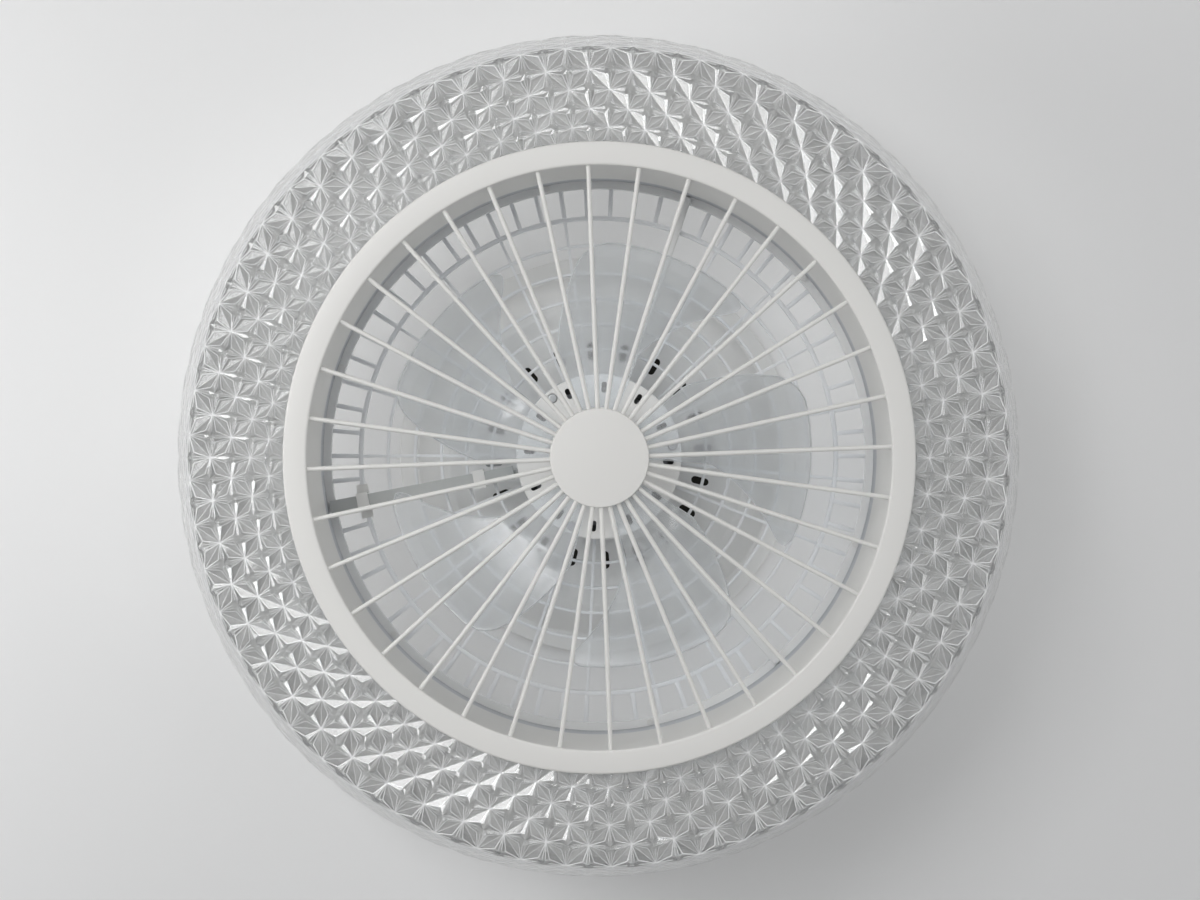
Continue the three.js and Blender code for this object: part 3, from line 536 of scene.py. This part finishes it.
def shade_rows():
    """The rows of stars, from the trim ring round the corner to the lip."""
    rows = []
    trim = reach("front_ring")
    for i in range(FRONT_ROWS):
        radius = SHADE_BORE * (SHADE_CORNER / SHADE_BORE) ** (i / FRONT_ROWS)
        rows.append((radius, SHADE_BASE + SHADE_RISE * max(0, (radius - trim) / (SHADE_CORNER - trim))))
    corner_level = SHADE_BASE + SHADE_RISE
    lip_bottom = top("shade") - LIP_THICKNESS
    for i in range(SIDE_ROWS + 1):
        share = i / SIDE_ROWS
        radius = SHADE_CORNER + (reach("shade") - SHADE_CORNER) * share
        rows.append((radius, corner_level + (lip_bottom - corner_level) * share))
    return [Vector((radius, 0, level)) for radius, level in rows]


def row_normals(rows):
    normals = []
    for i in range(len(rows)):
        along = rows[min(i + 1, len(rows) - 1)] - rows[max(i - 1, 0)]
        normals.append(Vector((along.z, 0, -along.x)).normalized())
    return normals


def path_mesh(name, rows, lifts):
    """A line of points that say which way, and by what share, facets stand out there."""
    line = bpy.data.meshes.new(name)
    line.from_pydata([row * MM for row in rows], [(i, i + 1) for i in range(len(rows) - 1)], [])
    line.attributes.new("outside", "FLOAT_VECTOR", "POINT")
    line.attributes["outside"].data.foreach_set("vector", [value for lift in lifts for value in lift])
    return line


def star_tile():
    """The quarter of a star pattern that repeats: two stars, two cell centres and the facets between them.

    Its sides are 1 long and its height says how far a point stands out, as a share of the facets' height.
    """
    near = (1 - PETAL_REACH) / 2  # from a petal's tip to the tile's side
    spine = near * SPINE_SHARE
    half = [
        (0, 0, 0),
        (1 - near, 0, SPINE_HEIGHT),
        (1 - near, spine, SPINE_HEIGHT),
        (1 - near, near, PETAL_HEIGHT),
        (1, 0, 1),
        (1 - spine, near, SPINE_HEIGHT),
        (1, near, SPINE_HEIGHT),
        (1, 1, 0),
    ]
    faces = [(0, 1, 2), (0, 2, 3), (1, 4, 2), (2, 4, 3), (3, 4, 5), (4, 6, 5), (3, 5, 7), (5, 6, 7)]
    faces.append((0, 3, 7))
    mirrored = [(y, x, z) for x, y, z in half]
    points = [Vector(point) - Vector((0.5, 0.5, 0)) for point in half + mirrored]
    faces += [tuple(i + len(half) for i in face[::-1]) for face in faces]
    tile = bpy.data.meshes.new("star_tile")
    tile.from_pydata(points, [], faces)
    tile = outward(tile)
    star, tip, wedge, far_wedge, far_star = [half[i][:2] for i in (0, 3, 2, 5, 7)]
    widths = {(star, tip): RIDGE, (tip, far_star): RIDGE, (star, far_star): FAINT_RIDGE}
    widths |= {(star, wedge): FAINT_RIDGE, (far_star, far_wedge): FAINT_RIDGE}
    mark_ridges(tile, widths)
    return tile


def edge_key(ends):
    return frozenset((round(x, 3), round(y, 3)) for x, y in ends)


def mark_ridges(tile, widths):
    """Writes how near each face's corners are to its marked edges: 1 on an edge, 0 at the ridge's width."""
    middle = Vector((0.5, 0.5))
    known = {}
    for ends, width in widths.items():
        mirrored = [(y, x) for x, y in ends]
        known |= {edge_key(ends): width, edge_key(mirrored): width}
    ridge = tile.attributes.new("ridge", "FLOAT_VECTOR", "CORNER")
    for face in tile.polygons:
        corners = [tile.vertices[i].co.xy + middle for i in face.vertices]
        for own in range(3):
            start, end = corners[own - 2], corners[own - 1]
            width = known.get(edge_key((start, end)))
            away = abs((end - start).normalized().cross(corners[own] - start))
            for k, loop in enumerate(face.loop_indices):
                value = ridge.data[loop].vector
                value[own] = 1 - (away / width if k == own else 0) if width else -1
                ridge.data[loop].vector = value


def sampled(tree, source, value, index):
    sockets = {"Geometry": source, "Value": value, "Index": index}
    return add(tree, "GeometryNodeSampleIndex", sockets, data_type="FLOAT_VECTOR", clamp=True).outputs[0]


def bend_nodes(tree, geometry, profile, stars, facet_height, last_row):
    """Bends a flat pattern of columns and rows round the axis, along a profile."""
    position = add(tree, "GeometryNodeInputPosition").outputs[0]
    parts = add(tree, "ShaderNodeSeparateXYZ", {0: position}).outputs
    limit = maths(tree, "MINIMUM", parts["Y"], last_row)
    row = maths(tree, "FLOOR", maths(tree, "ADD", limit, ROW_SLACK))
    following = maths(tree, "ADD", row, 1)
    share = maths(tree, "SUBTRACT", limit, row)
    source = add(tree, "GeometryNodeObjectInfo", {"Object": profile}).outputs["Geometry"]
    outside = add(tree, "GeometryNodeInputNamedAttribute", {"Name": "outside"}, data_type="FLOAT_VECTOR")
    between = []
    for value in (position, outside.outputs[0]):
        ends = [sampled(tree, source, value, index) for index in (row, following)]
        mixed = add(tree, "ShaderNodeMix", {0: share, 4: ends[0], 5: ends[1]}, data_type="VECTOR")
        between.append(mixed.outputs[1])
    # Centres on the first and last row lie flat, so that the edge is clean
    inner = maths(tree, "GREATER_THAN", parts["Y"], EDGE_SLACK)
    outer = maths(tree, "LESS_THAN", parts["Y"], maths(tree, "SUBTRACT", last_row, EDGE_SLACK))
    height = maths(tree, "MULTIPLY", parts["Z"], facet_height)
    height = maths(tree, "MULTIPLY", height, maths(tree, "MULTIPLY", inner, outer))
    raised = add(tree, "ShaderNodeVectorMath", {0: between[1], "Scale": height}, operation="SCALE").outputs[0]
    point = add(tree, "ShaderNodeVectorMath", {0: between[0], 1: raised}, operation="ADD").outputs[0]
    angle = maths(tree, "MULTIPLY", parts["X"], maths(tree, "DIVIDE", math.pi, stars))
    bent = add(tree, "ShaderNodeVectorRotate", {"Vector": point, "Angle": angle}, rotation_type="Z_AXIS")
    sockets = {"Geometry": geometry, "Position": bent.outputs[0]}
    return add(tree, "GeometryNodeSetPosition", sockets).outputs[0]


def shade_tree():
    """Covers the outside with star tiles, adds the plain inside and closes both into one shell."""
    inputs = {"Tile": "Geometry", "Outside": "Object", "Inside": "Object", "Stars": "Int", "Rows": "Int"}
    inputs |= {"Inside Rows": "Int", "Facet Height": "Float", "Finish": "Material"}
    tree, given = new_tree("star_facets", inputs)
    stars, rows, inside_rows = given["Stars"], given["Rows"], given["Inside Rows"]
    columns = maths(tree, "MULTIPLY", stars, 2)
    index = add(tree, "GeometryNodeInputIndex").outputs[0]
    column = maths(tree, "FLOORED_MODULO", index, columns)
    row = maths(tree, "FLOOR", maths(tree, "DIVIDE", index, columns))
    corner = add(tree, "ShaderNodeCombineXYZ", {"X": column, "Y": row}).outputs[0]
    middle = add(tree, "ShaderNodeVectorMath", {0: corner, 1: (0.5, 0.5, 0)}, operation="ADD").outputs[0]
    # Every other tile is turned by a quarter, so that its stars meet its neighbours'
    odd = maths(tree, "FLOORED_MODULO", maths(tree, "ADD", column, row), 2)
    quarter = maths(tree, "MULTIPLY", odd, math.pi / 2)
    flat = on_points(tree, maths(tree, "MULTIPLY", columns, rows), given["Tile"], quarter, Position=middle)
    flat = add(tree, "GeometryNodeMergeByDistance", {"Geometry": flat, "Distance": EDGE_SLACK}).outputs[0]
    facets = bend_nodes(tree, flat, given["Outside"], stars, given["Facet Height"], rows)
    sockets = {
        "Size X": columns,
        "Size Y": inside_rows,
        "Vertices X": maths(tree, "ADD", columns, 1),
        "Vertices Y": maths(tree, "ADD", inside_rows, 1),
    }
    grid = add(tree, "GeometryNodeMeshGrid", sockets).outputs[0]
    shift = add(tree, "ShaderNodeCombineXYZ", {"X": columns, "Y": inside_rows}).outputs[0]
    half = add(tree, "ShaderNodeVectorMath", {0: shift, "Scale": 0.5}, operation="SCALE").outputs[0]
    grid = add(tree, "GeometryNodeTransform", {"Geometry": grid, "Translation": half}).outputs[0]
    lining = bend_nodes(tree, grid, given["Inside"], stars, 0.0, inside_rows)
    shell = add(tree, "GeometryNodeJoinGeometry", {0: [facets, lining]}).outputs[0]
    shell = add(tree, "GeometryNodeMergeByDistance", {"Geometry": shell, "Distance": SHELL_WELD}).outputs[0]
    real = add(tree, "GeometryNodeRealizeInstances", {0: shell}).outputs[0]
    paint_and_close(tree, real, given["Finish"])
    return tree


def shade():
    rows = shade_rows()
    normals = row_normals(rows)
    radius = reach("shade")
    lip_top, lip_bottom = top("shade"), top("shade") - LIP_THICKNESS
    inner = [row - normal * SHADE_WALL for row, normal in zip(rows, normals)]
    lip = [(radius, lip_top), (radius - LIP_WIDTH, lip_top), (radius - LIP_WIDTH, lip_bottom)]
    lip.append((radius - SHADE_WALL, lip_bottom - 1))
    lining = [rows[-1], *[Vector((r, 0, level)) for r, level in lip], *inner[-2:0:-1], inner[0], rows[0]]
    # The front's facets keep their slope: they are as high as their cell is wide
    lifts = [
        normal * (row.x / SHADE_CORNER) * (1 if i < FRONT_ROWS else SIDE_RELIEF)
        for i, (row, normal) in enumerate(zip(rows, normals))
    ]
    mesh = grown(
        shade_tree(),
        "shade",
        star_tile(),
        Outside=path_mesh("shade_rows", rows, lifts),
        Inside=path_mesh("shade_lining", lining, lining),
        Stars=STARS,
        Rows=len(rows) - 1,
        **{"Inside Rows": len(lining) - 1, "Facet Height": FACET_HEIGHT * MM},
    )
    return outward(mesh, SHELL_WELD)


piece("faceted_shade", shade(), FIXED, "clear_acrylic", ["shade"], crease=6)

# Trim ring: a flat face and a collar down into the duct
TRIM_BORE = 163.5
TRIM_THICKNESS = 4
COLLAR_WALL = 2.7
COLLAR_TOP = top("front_ring")
trim_radius = reach("front_ring")
trim_back = FRONT + TRIM_THICKNESS
trim_outline = [
    (TRIM_BORE, FRONT),
    (trim_radius, FRONT),
    (trim_radius, trim_back),
    (TRIM_BORE + COLLAR_WALL, trim_back),
    (TRIM_BORE + COLLAR_WALL, COLLAR_TOP),
    (TRIM_BORE, COLLAR_TOP),
]
piece("trim_ring", turned("trim_ring", trim_outline, fillet=1.5), FIXED, "white_plastic", ["front_ring"])

# Grille: round rods from a hub into the ring, and the disc over the hub
ROD_COUNT = 36
ROD_RADIUS = 1.3
ROD_SIDES = 16
ROD_START = 13
ROD_LET_IN = 1  # into the ring
DISC_THICKNESS = 1.4
DISC_GAP = 0.3
HUB_RADIUS = 26
rod_level = FRONT + DISC_THICKNESS + DISC_GAP + ROD_RADIUS


def rod():
    """A rod along X, round, with its outer end let into the ring."""
    points = [
        (x, ROD_RADIUS * math.cos(angle), rod_level + ROD_RADIUS * math.sin(angle))
        for x in (ROD_START, TRIM_BORE + ROD_LET_IN)
        for angle in (TAU * k / ROD_SIDES for k in range(ROD_SIDES))
    ]
    near_end, far_end = list(range(ROD_SIDES)), list(range(ROD_SIDES, 2 * ROD_SIDES))
    sides = [(k, (k + 1) % ROD_SIDES, (k + 1) % ROD_SIDES + ROD_SIDES, k + ROD_SIDES) for k in near_end]
    return mesh_of("rod", points, [*sides, near_end, far_end])


hub_outline = section(0, HUB_RADIUS, bottom("grille_spokes"), top("grille_spokes"))
hub = turned("grille_hub", hub_outline, fillet=0.8)
rods = repeated("rods", rod(), ROD_COUNT, ROD_ANGLE, hub)
piece("grille", rods, FIXED, "white_plastic", ["grille_spokes"])
disc_outline = section(0, reach("grille_cap"), FRONT, FRONT + DISC_THICKNESS)
disc = turned("centre_disc", disc_outline, fillet=0.7)
piece("centre_disc", disc, FIXED, "white_plastic", ["grille_cap"])

# Duct behind the ring
DUCT_WALL = 1.5
DUCT_FRONT = 163.8
duct_rear = reach("duct_wall") - DUCT_WALL
duct_outline = [
    (DUCT_FRONT, bottom("duct_wall")),
    (DUCT_FRONT + DUCT_WALL, bottom("duct_wall")),
    (duct_rear + DUCT_WALL, top("duct_wall")),
    (duct_rear, top("duct_wall")),
]
piece("duct", turned("duct", duct_outline), FIXED, "frosted_acrylic", ["duct_wall"])

# Pan: the rim that carries the shade, the deck for the light board and the guard's flange, from outside in
SHEET = 1.2
RIM_LEVEL, DECK_LEVEL = -96.3, -82
pan_levels = (RIM_LEVEL, RIM_LEVEL, DECK_LEVEL, DECK_LEVEL, GUARD_BOTTOM, GUARD_BOTTOM)
pan_above = list(zip((249, 240, 233, 175, 171, 161.7), pan_levels))
pan_below = list(zip((249, 239.2, 232.2, 174.4, 170.4, 161.7), pan_levels))
pan_outline = pan_above + [(radius, level - SHEET) for radius, level in reversed(pan_below)]
piece("pan", turned("pan", pan_outline, fillet=1.5), FIXED, "white_paint", ["chassis_plate"])

# Canopy: a spun shell with a ring of vents in its floor
CANOPY_HOLE = 18
CANOPY_EDGE = -0.8  # just clear of the ceiling
VENT_COUNT = 20
VENT_REACH = 64.7
VENT_LENGTH = 10.9
VENT_WIDTH = 4.5
floor_inside = CANOPY_FLOOR + SHEET
canopy_outside = [
    (CANOPY_HOLE, CANOPY_FLOOR),
    (92, CANOPY_FLOOR),
    (99, CANOPY_FLOOR + 5.25),
    (113.6, -13.5),
    (126, -10),
    (126, CANOPY_EDGE),
]
canopy_inside = [
    (124.8, CANOPY_EDGE),
    (124.8, -9.1),
    (112.6, -12.5),
    (98.1, CANOPY_FLOOR + 6.2),
    (91.6, floor_inside),
    (CANOPY_HOLE, floor_inside),
]
vent = pill("vent", VENT_REACH, VENT_LENGTH, VENT_WIDTH, CANOPY_FLOOR - 1, floor_inside + 1)
shell = turned("canopy", canopy_outside + canopy_inside, fillet=1.4)
canopy = pierced(shell, vent, VENT_COUNT, VENT_ANGLE)
piece("spun_canopy", canopy, FIXED, "white_paint", ["canopy"])

# Rear guard: rings and bars, rounded as a moulding is
GUARD_PLACES = 66
SECTORS = 3
LONG_BARS = (0, 2, 5, 8, 11, 14, 17, 20)
PLATE_RADIUS = 50
PLATE_BORE = 15
RIM_WIDTH = 6.3
WIRE = 1.8
SHORT_BAR = 2.7
RING_SHARES = (0.134, 0.27, 0.406, 0.548, 0.695, 0.842)  # of the way from plate to rim
BEADS = (1.3, 3.1, 5.2)  # raised beads of the rim, inwards from its outer edge
BEAD_WIDTH = 0.9
BEAD_HEIGHT = 0.6
BAR_INSET = 0.1  # the bars' faces lie this far inside the rings'


def guard():
    rim = reach("rear_guard")
    rim_bore = rim - RIM_WIDTH
    rings = [PLATE_RADIUS + (rim_bore - PLATE_RADIUS) * share for share in RING_SHARES]
    rounds = [(PLATE_BORE, PLATE_RADIUS), (rim_bore, rim)]
    rounds += [(radius - WIRE / 2, radius + WIRE / 2) for radius in rings[:-1]]
    rounds.append((rings[-1] - SHORT_BAR / 2, rings[-1] + SHORT_BAR / 2))
    hoops = [turned("hoop", section(a, b, GUARD_BOTTOM, GUARD_TOP), fillet=0.6) for a, b in rounds]
    bead_low, bead_high = GUARD_BOTTOM - BEAD_HEIGHT, GUARD_BOTTOM + BEAD_HEIGHT
    for bead in BEADS:
        a, b = rim - bead - BEAD_WIDTH / 2, rim - bead + BEAD_WIDTH / 2
        hoops.append(turned("bead", section(a, b, bead_low, bead_high), fillet=0.35))
    low, high = GUARD_BOTTOM + BAR_INSET, GUARD_TOP - BAR_INSET
    place = 360 / GUARD_PLACES
    sector = []
    for k in LONG_BARS:
        long_bar = bar("long_bar", PLATE_RADIUS - 1, rings[-1], WIRE, low, high)
        sector.append(rotated(rounded(long_bar, width=0.4), k * place))
    short_bar = rounded(bar("short_bar", rings[-1], rim_bore + 1, SHORT_BAR, low, high), width=0.5)
    long_bars = repeated("long_bars", joined("sector", sector), SECTORS, CAGE_ANGLE)
    short_bars = repeated("short_bars", short_bar, GUARD_PLACES, CAGE_ANGLE)
    return joined("guard", [*hoops, long_bars, short_bars])


piece("guard", guard(), FIXED, "guard_plastic", ["rear_guard"])

# Arms between motor base and pan
ARM_WIDTH = 4.6
ARM_START = 26
arm_low, arm_high = bottom("support_arm_1"), top("support_arm_1")
arm_end = reach("support_arm_1") - 0.1  # inside the solid's corners
arm = rounded(bar("arm", ARM_START, arm_end, ARM_WIDTH, arm_low, arm_high), width=0.8, segments=3)
arms = repeated("arms", arm, SECTORS, CAGE_ANGLE)
piece("arms", arms, FIXED, "white_paint", [f"support_arm_{k}" for k in (1, 2, 3)])

# Light board's chips
CHIP_RINGS = {192: 54, 216: 60}  # radius and count
CHIP_LENGTH = 3.5
CHIP_WIDTH = 2.8
CHIP_HEIGHT = 0.8
DOME_TIP, DOME_FOOT = 1.0, 1.2
DOME_PROUD, DOME_DEPTH = 0.1, 0.2


def chips():
    bodies, domes = [], []
    low = BOARD_FACE - CHIP_HEIGHT
    dome_low, dome_high = low - DOME_PROUD, low + DOME_DEPTH
    dome_outline = [(0, dome_low), (DOME_TIP, dome_low), (DOME_FOOT, dome_high), (0, dome_high)]
    for radius, count in CHIP_RINGS.items():
        body = bar("chip", radius - CHIP_LENGTH / 2, radius + CHIP_LENGTH / 2, CHIP_WIDTH, low, BOARD_FACE)
        dome = moved(turned("dome", dome_outline, fillet=0.1, steps=12), radius)
        bodies.append(repeated("chip_bodies", body, count, CAGE_ANGLE))
        domes.append(repeated("chip_domes", dome, count, CAGE_ANGLE))
    return joined("chip_bodies", bodies), joined("chip_domes", domes)


chip_bodies, chip_domes = chips()
piece("led_bodies", chip_bodies, FIXED, "white_plastic")
piece("led_domes", chip_domes, FIXED, "board_white", material=PHOSPHOR)

# Rotor: a turned can with slots and three sunk screws in its face
BOSS_RADIUS = 16
BEARING_BORE = 13.3
BEARING_DEPTH = 7
ROTOR_WALL = 3
ROTOR_FACE_THICKNESS = 2.5
SLOT_COUNT = 12
SLOT_REACH = 41
SLOT_LENGTH = 6.5
SLOT_WIDTH = 2.9
POCKET = 3.1  # radius of a screw's pocket
HEAD = 2.7  # and of its head
SCREW_REACH = 43.8
SCREW_ANGLE = -128.5
SCREW_SINK = 1.4
SCREW_GAP = 0.1  # between the rotor's face and a head's
CROSS_LENGTH, CROSS_WIDTH = 1.2, 0.22  # shares of a head's radius
CROSS_DEPTH = 0.8
rotor_radius = reach("rotor_housing")
rotor_low, face_inside = bottom("rotor_housing"), ROTOR_FACE + ROTOR_FACE_THICKNESS
seat = rotor_low + BEARING_DEPTH
rotor_outline = [
    (BEARING_BORE, seat),
    (BEARING_BORE, rotor_low),
    (BOSS_RADIUS, rotor_low),
    (BOSS_RADIUS, ROTOR_FACE),
    (rotor_radius, ROTOR_FACE),
    (rotor_radius, ROTOR_TOP),
    (rotor_radius - ROTOR_WALL, ROTOR_TOP),
    (rotor_radius - ROTOR_WALL, face_inside),
    (BOSS_RADIUS, face_inside),
    (BOSS_RADIUS, seat),
]
rotor_slot = pill("slot", SLOT_REACH, SLOT_LENGTH, SLOT_WIDTH, ROTOR_FACE - 1, face_inside + 1)
rotor_can = turned("rotor_can", rotor_outline, fillet=0.8)
rotor_can = pierced(rotor_can, rotor_slot, SLOT_COUNT, ROTOR_SLOT_ANGLE)
screw_seat = ROTOR_FACE + SCREW_SINK
pocket = turned("pocket", section(0, POCKET, ROTOR_FACE - 1, screw_seat), fillet=0.01, steps=24)
pocket = moved(pocket, SCREW_REACH)
rotor_can = pierced(rotor_can, pocket, SECTORS, SCREW_ANGLE)
piece("rotor_can", rotor_can, TURNING, "white_paint", ["rotor_housing"])


def cross_head(radius, low, high):
    """A pan head whose face is at low, with a cross cut into it."""
    head = turned("cross_head", section(0, radius, low, high), fillet=(high - low) * 0.6, steps=32)
    half = radius * CROSS_LENGTH / 2
    cut = bar("cross", -half, half, radius * CROSS_WIDTH, low - 1, low + CROSS_DEPTH)
    return pierced(pierced(head, cut, 1, 0), cut, 1, 90)


rotor_screw = moved(cross_head(HEAD, ROTOR_FACE + SCREW_GAP, screw_seat), SCREW_REACH)
rotor_screws = repeated("rotor_screws", rotor_screw, SECTORS, SCREW_ANGLE)
piece("rotor_screws", rotor_screws, TURNING, "zinc_steel")

# Cover of the blade roots
CLAMP_WALL = 2
clamp_radius = reach("blade_clamp")
clamp_low, clamp_high = bottom("blade_clamp"), top("blade_clamp")
clamp_bore = BOSS_RADIUS + 0.3
clamp_outline = [
    (0, clamp_low),
    (clamp_radius, clamp_low),
    (clamp_radius, clamp_high),
    (clamp_bore, clamp_high),
    (clamp_bore, clamp_low + CLAMP_WALL),
    (0, clamp_low + CLAMP_WALL),
]
piece("clamp", turned("clamp", clamp_outline, fillet=1.6), TURNING, "white_plastic", ["blade_clamp"])

# Blades: swept and pitched sheets with rounded edges
BLADE_COUNT = 5
BLADE_THICKNESS = 1.7
BLADE_ROOT, BLADE_TIP = 18, 125
BLADE_FLAT, FULL_PITCH = 48.8, 72  # radii between which the pitch sets in
BLADE_BEND = 65  # radius from which the blade sweeps
ROOT_SPAN, TIP_SPAN, SWEEP, PITCH = 43, 50, 22, 14
TIP_ROUND = 12
BLADE_ROWS, BLADE_COLUMNS = 46, 28


def blade():
    points = []
    for i in range(BLADE_ROWS + 1):
        radius = BLADE_ROOT + (BLADE_TIP - BLADE_ROOT) * i / BLADE_ROWS
        swept = max(0, (radius - BLADE_BEND) / (BLADE_TIP - BLADE_BEND))
        rise = min(1, max(0, (radius - BLADE_FLAT) / (FULL_PITCH - BLADE_FLAT)))
        rise = rise * rise * (3 - 2 * rise)
        span = math.radians(ROOT_SPAN + (TIP_SPAN - ROOT_SPAN) * swept)
        into_round = max(0, TIP_ROUND - (BLADE_TIP - radius))
        inset = TIP_ROUND - math.sqrt(TIP_ROUND**2 - into_round**2)
        width = span * radius - 2 * inset
        for j in range(BLADE_COLUMNS + 1):
            across = (j / BLADE_COLUMNS - 0.5) * width
            angle = math.radians(SWEEP) * swept + across / radius
            level = across * math.tan(math.radians(PITCH)) * rise
            points.append((radius * math.cos(angle), radius * math.sin(angle), level))
    line = BLADE_COLUMNS + 1
    starts = [i * line + j for i in range(BLADE_ROWS) for j in range(BLADE_COLUMNS)]
    faces = [(a, a + 1, a + line + 1, a + line) for a in starts]
    sheet = bpy.data.meshes.new("blade")
    sheet.from_pydata([Vector(p) * MM for p in points], [], faces)
    worker = stock(moved(sheet, 0, 0, ROTOR_FACE - BLADE_SEAT / 2))
    wall = worker.modifiers.new("wall", "SOLIDIFY")
    wall.thickness, wall.offset = BLADE_THICKNESS * MM, 0
    bevel_edges(worker, width=0.7, segments=3, angle=50)
    return outward(finished_mesh(worker, "blade"))


blade_edge = FINISHES["blade_edge"]
for k in range(BLADE_COUNT):
    set_blade = rotated(blade(), ROTOR_ANGLE + 360 / BLADE_COUNT * k)
    piece(f"fan_blade_{k + 1}", set_blade, TURNING, "blade_acrylic", [f"blade_{k + 1}"], edge=blade_edge)

# Ceiling: seen from below only, so that the light can be looked at from above
CEILING_HALF = 4000
STIPPLE = 2.5
PAINTED_SHADE_INSET = 2  # PAINTED_SHADE_INSET = 2 # the painted shade begins this far inside the canopy's edge


def ceiling_paint():
    """Matt emulsion on plaster, painted near-black within the canopy as painted shade for its unlit inside.
    From above it isn't there.
    """
    material = bpy.data.materials.new("ceiling_emulsion")
    tree = cleared(material)
    place = add(tree, "ShaderNodeTexCoord").outputs["Object"]
    stipple = noise(tree, place, 1 / (STIPPLE * MM), 2)
    bump = add(tree, "ShaderNodeBump", {"Height": stipple, "Distance": 0.03 * MM}).outputs[0]
    distance = add(tree, "ShaderNodeVectorMath", {0: place}, operation="LENGTH").outputs["Value"]
    # Painted shade: within the canopy the ceiling is near-black, standing for the canopy's unlit inside
    painted_shade = maths(tree, "LESS_THAN", distance, (reach("canopy") - PAINTED_SHADE_INSET) * MM)
    sockets = {"Base Color": blend(tree, painted_shade, "#E4E4E4", "#26241F"), "Roughness": 0.9, "Normal": bump}
    paint = add(tree, "ShaderNodeBsdfPrincipled", sockets)
    gone = add(tree, "ShaderNodeBsdfTransparent")
    side = add(tree, "ShaderNodeNewGeometry").outputs["Backfacing"]
    shown = add(tree, "ShaderNodeMixShader", {0: side, 1: paint.outputs[0], 2: gone.outputs[0]})
    add(tree, "ShaderNodeOutputMaterial", {"Surface": shown.outputs[0]})
    return material


ceiling_mesh = bpy.data.meshes.new("ceiling")
sheet_points = [(-1, -1, 0), (-1, 1, 0), (1, 1, 0), (1, -1, 0)]
ceiling_mesh.from_pydata([Vector(p) * CEILING_HALF * MM for p in sheet_points], [], [(0, 1, 2, 3)])
ceiling_mesh.materials.append(ceiling_paint())
ceiling = placed("ceiling", ceiling_mesh)
ceiling.visible_shadow = False

# Camera: under the axis, looking straight up
CAMERA_DISTANCE = 1380
CAMERA_ASIDE = (-7, -14)
CAMERA_TURN = (-0.456, 0.347)  # off straight up
LENS = 64.5
camera = placed("camera", bpy.data.cameras.new("camera"))
camera.data.lens = LENS
camera.location = Vector((*CAMERA_ASIDE, -CAMERA_DISTANCE)) * MM
camera.rotation_euler = [math.radians(angle) for angle in (180 + CAMERA_TURN[0], CAMERA_TURN[1], 0)]
scene.camera = camera

# Lamps: place, width and height in metres, and power in watts
AIM = Vector((0, 0, -0.1))  # the light's middle
LAMPS = {
    "left_window": ((-1.5, -0.1, -0.95), 1.7, 0.2, 2.8),
    "left_lamp": ((-0.72, -0.12, -0.47), 0.3, 0.25, 1.6),
    "right_window": ((1.6, 0.3, -1.0), 1.5, 0.18, 6),
    "far_window": ((0.4, -1.8, -1.3), 1.2, 0.2, 5.4),
    "near_window": ((-0.85, -0.6, -2.1), 0.9, 0.9, 12),
    "room_fill": ((-0.1, -0.4, -2.6), 2.2, 2.2, 14),
    "top_fill": ((0.3, -1.2, 2.0), 2.0, 2.0, 28),
}
for name, (place, width, height, power) in LAMPS.items():
    lamp = bpy.data.lights.new(name, "AREA")
    lamp.shape, lamp.size, lamp.size_y, lamp.energy = "RECTANGLE", width, height, power
    hung = placed(name, lamp)
    hung.location = place
    hung.rotation_euler = (AIM - Vector(place)).to_track_quat("-Z", "Y").to_euler()
    hung.visible_camera = False


PATCH_SCALE = 3.2
PATCH_EDGE = (0.6, 0.66)
PATCH_LIGHT = (0.07, 1.8)  # between and on the patches


def room_air():
    """Pale surroundings: plain where the camera looks past the ceiling, patchy and dimmer as light."""
    world = bpy.data.worlds.new("room")
    tree = cleared(world)
    path = add(tree, "ShaderNodeLightPath").outputs
    plain = maths(tree, "MAXIMUM", path["Is Camera Ray"], path["Is Transmission Ray"])
    seen = add(tree, "ShaderNodeBackground", {"Color": linear("#E4E4E4"), "Strength": 1.0})
    towards = add(tree, "ShaderNodeTexCoord").outputs["Generated"]
    bright = ranged(tree, noise(tree, towards, PATCH_SCALE, 1), PATCH_EDGE, PATCH_LIGHT)
    felt = add(tree, "ShaderNodeBackground", {"Color": linear("#E6E8EA"), "Strength": bright})
    mixed = add(tree, "ShaderNodeMixShader", {0: plain, 1: felt.outputs[0], 2: seen.outputs[0]})
    add(tree, "ShaderNodeOutputWorld", {"Surface": mixed.outputs[0]})
    return world


scene.world = room_air()
scene.view_settings.view_transform = "Standard"
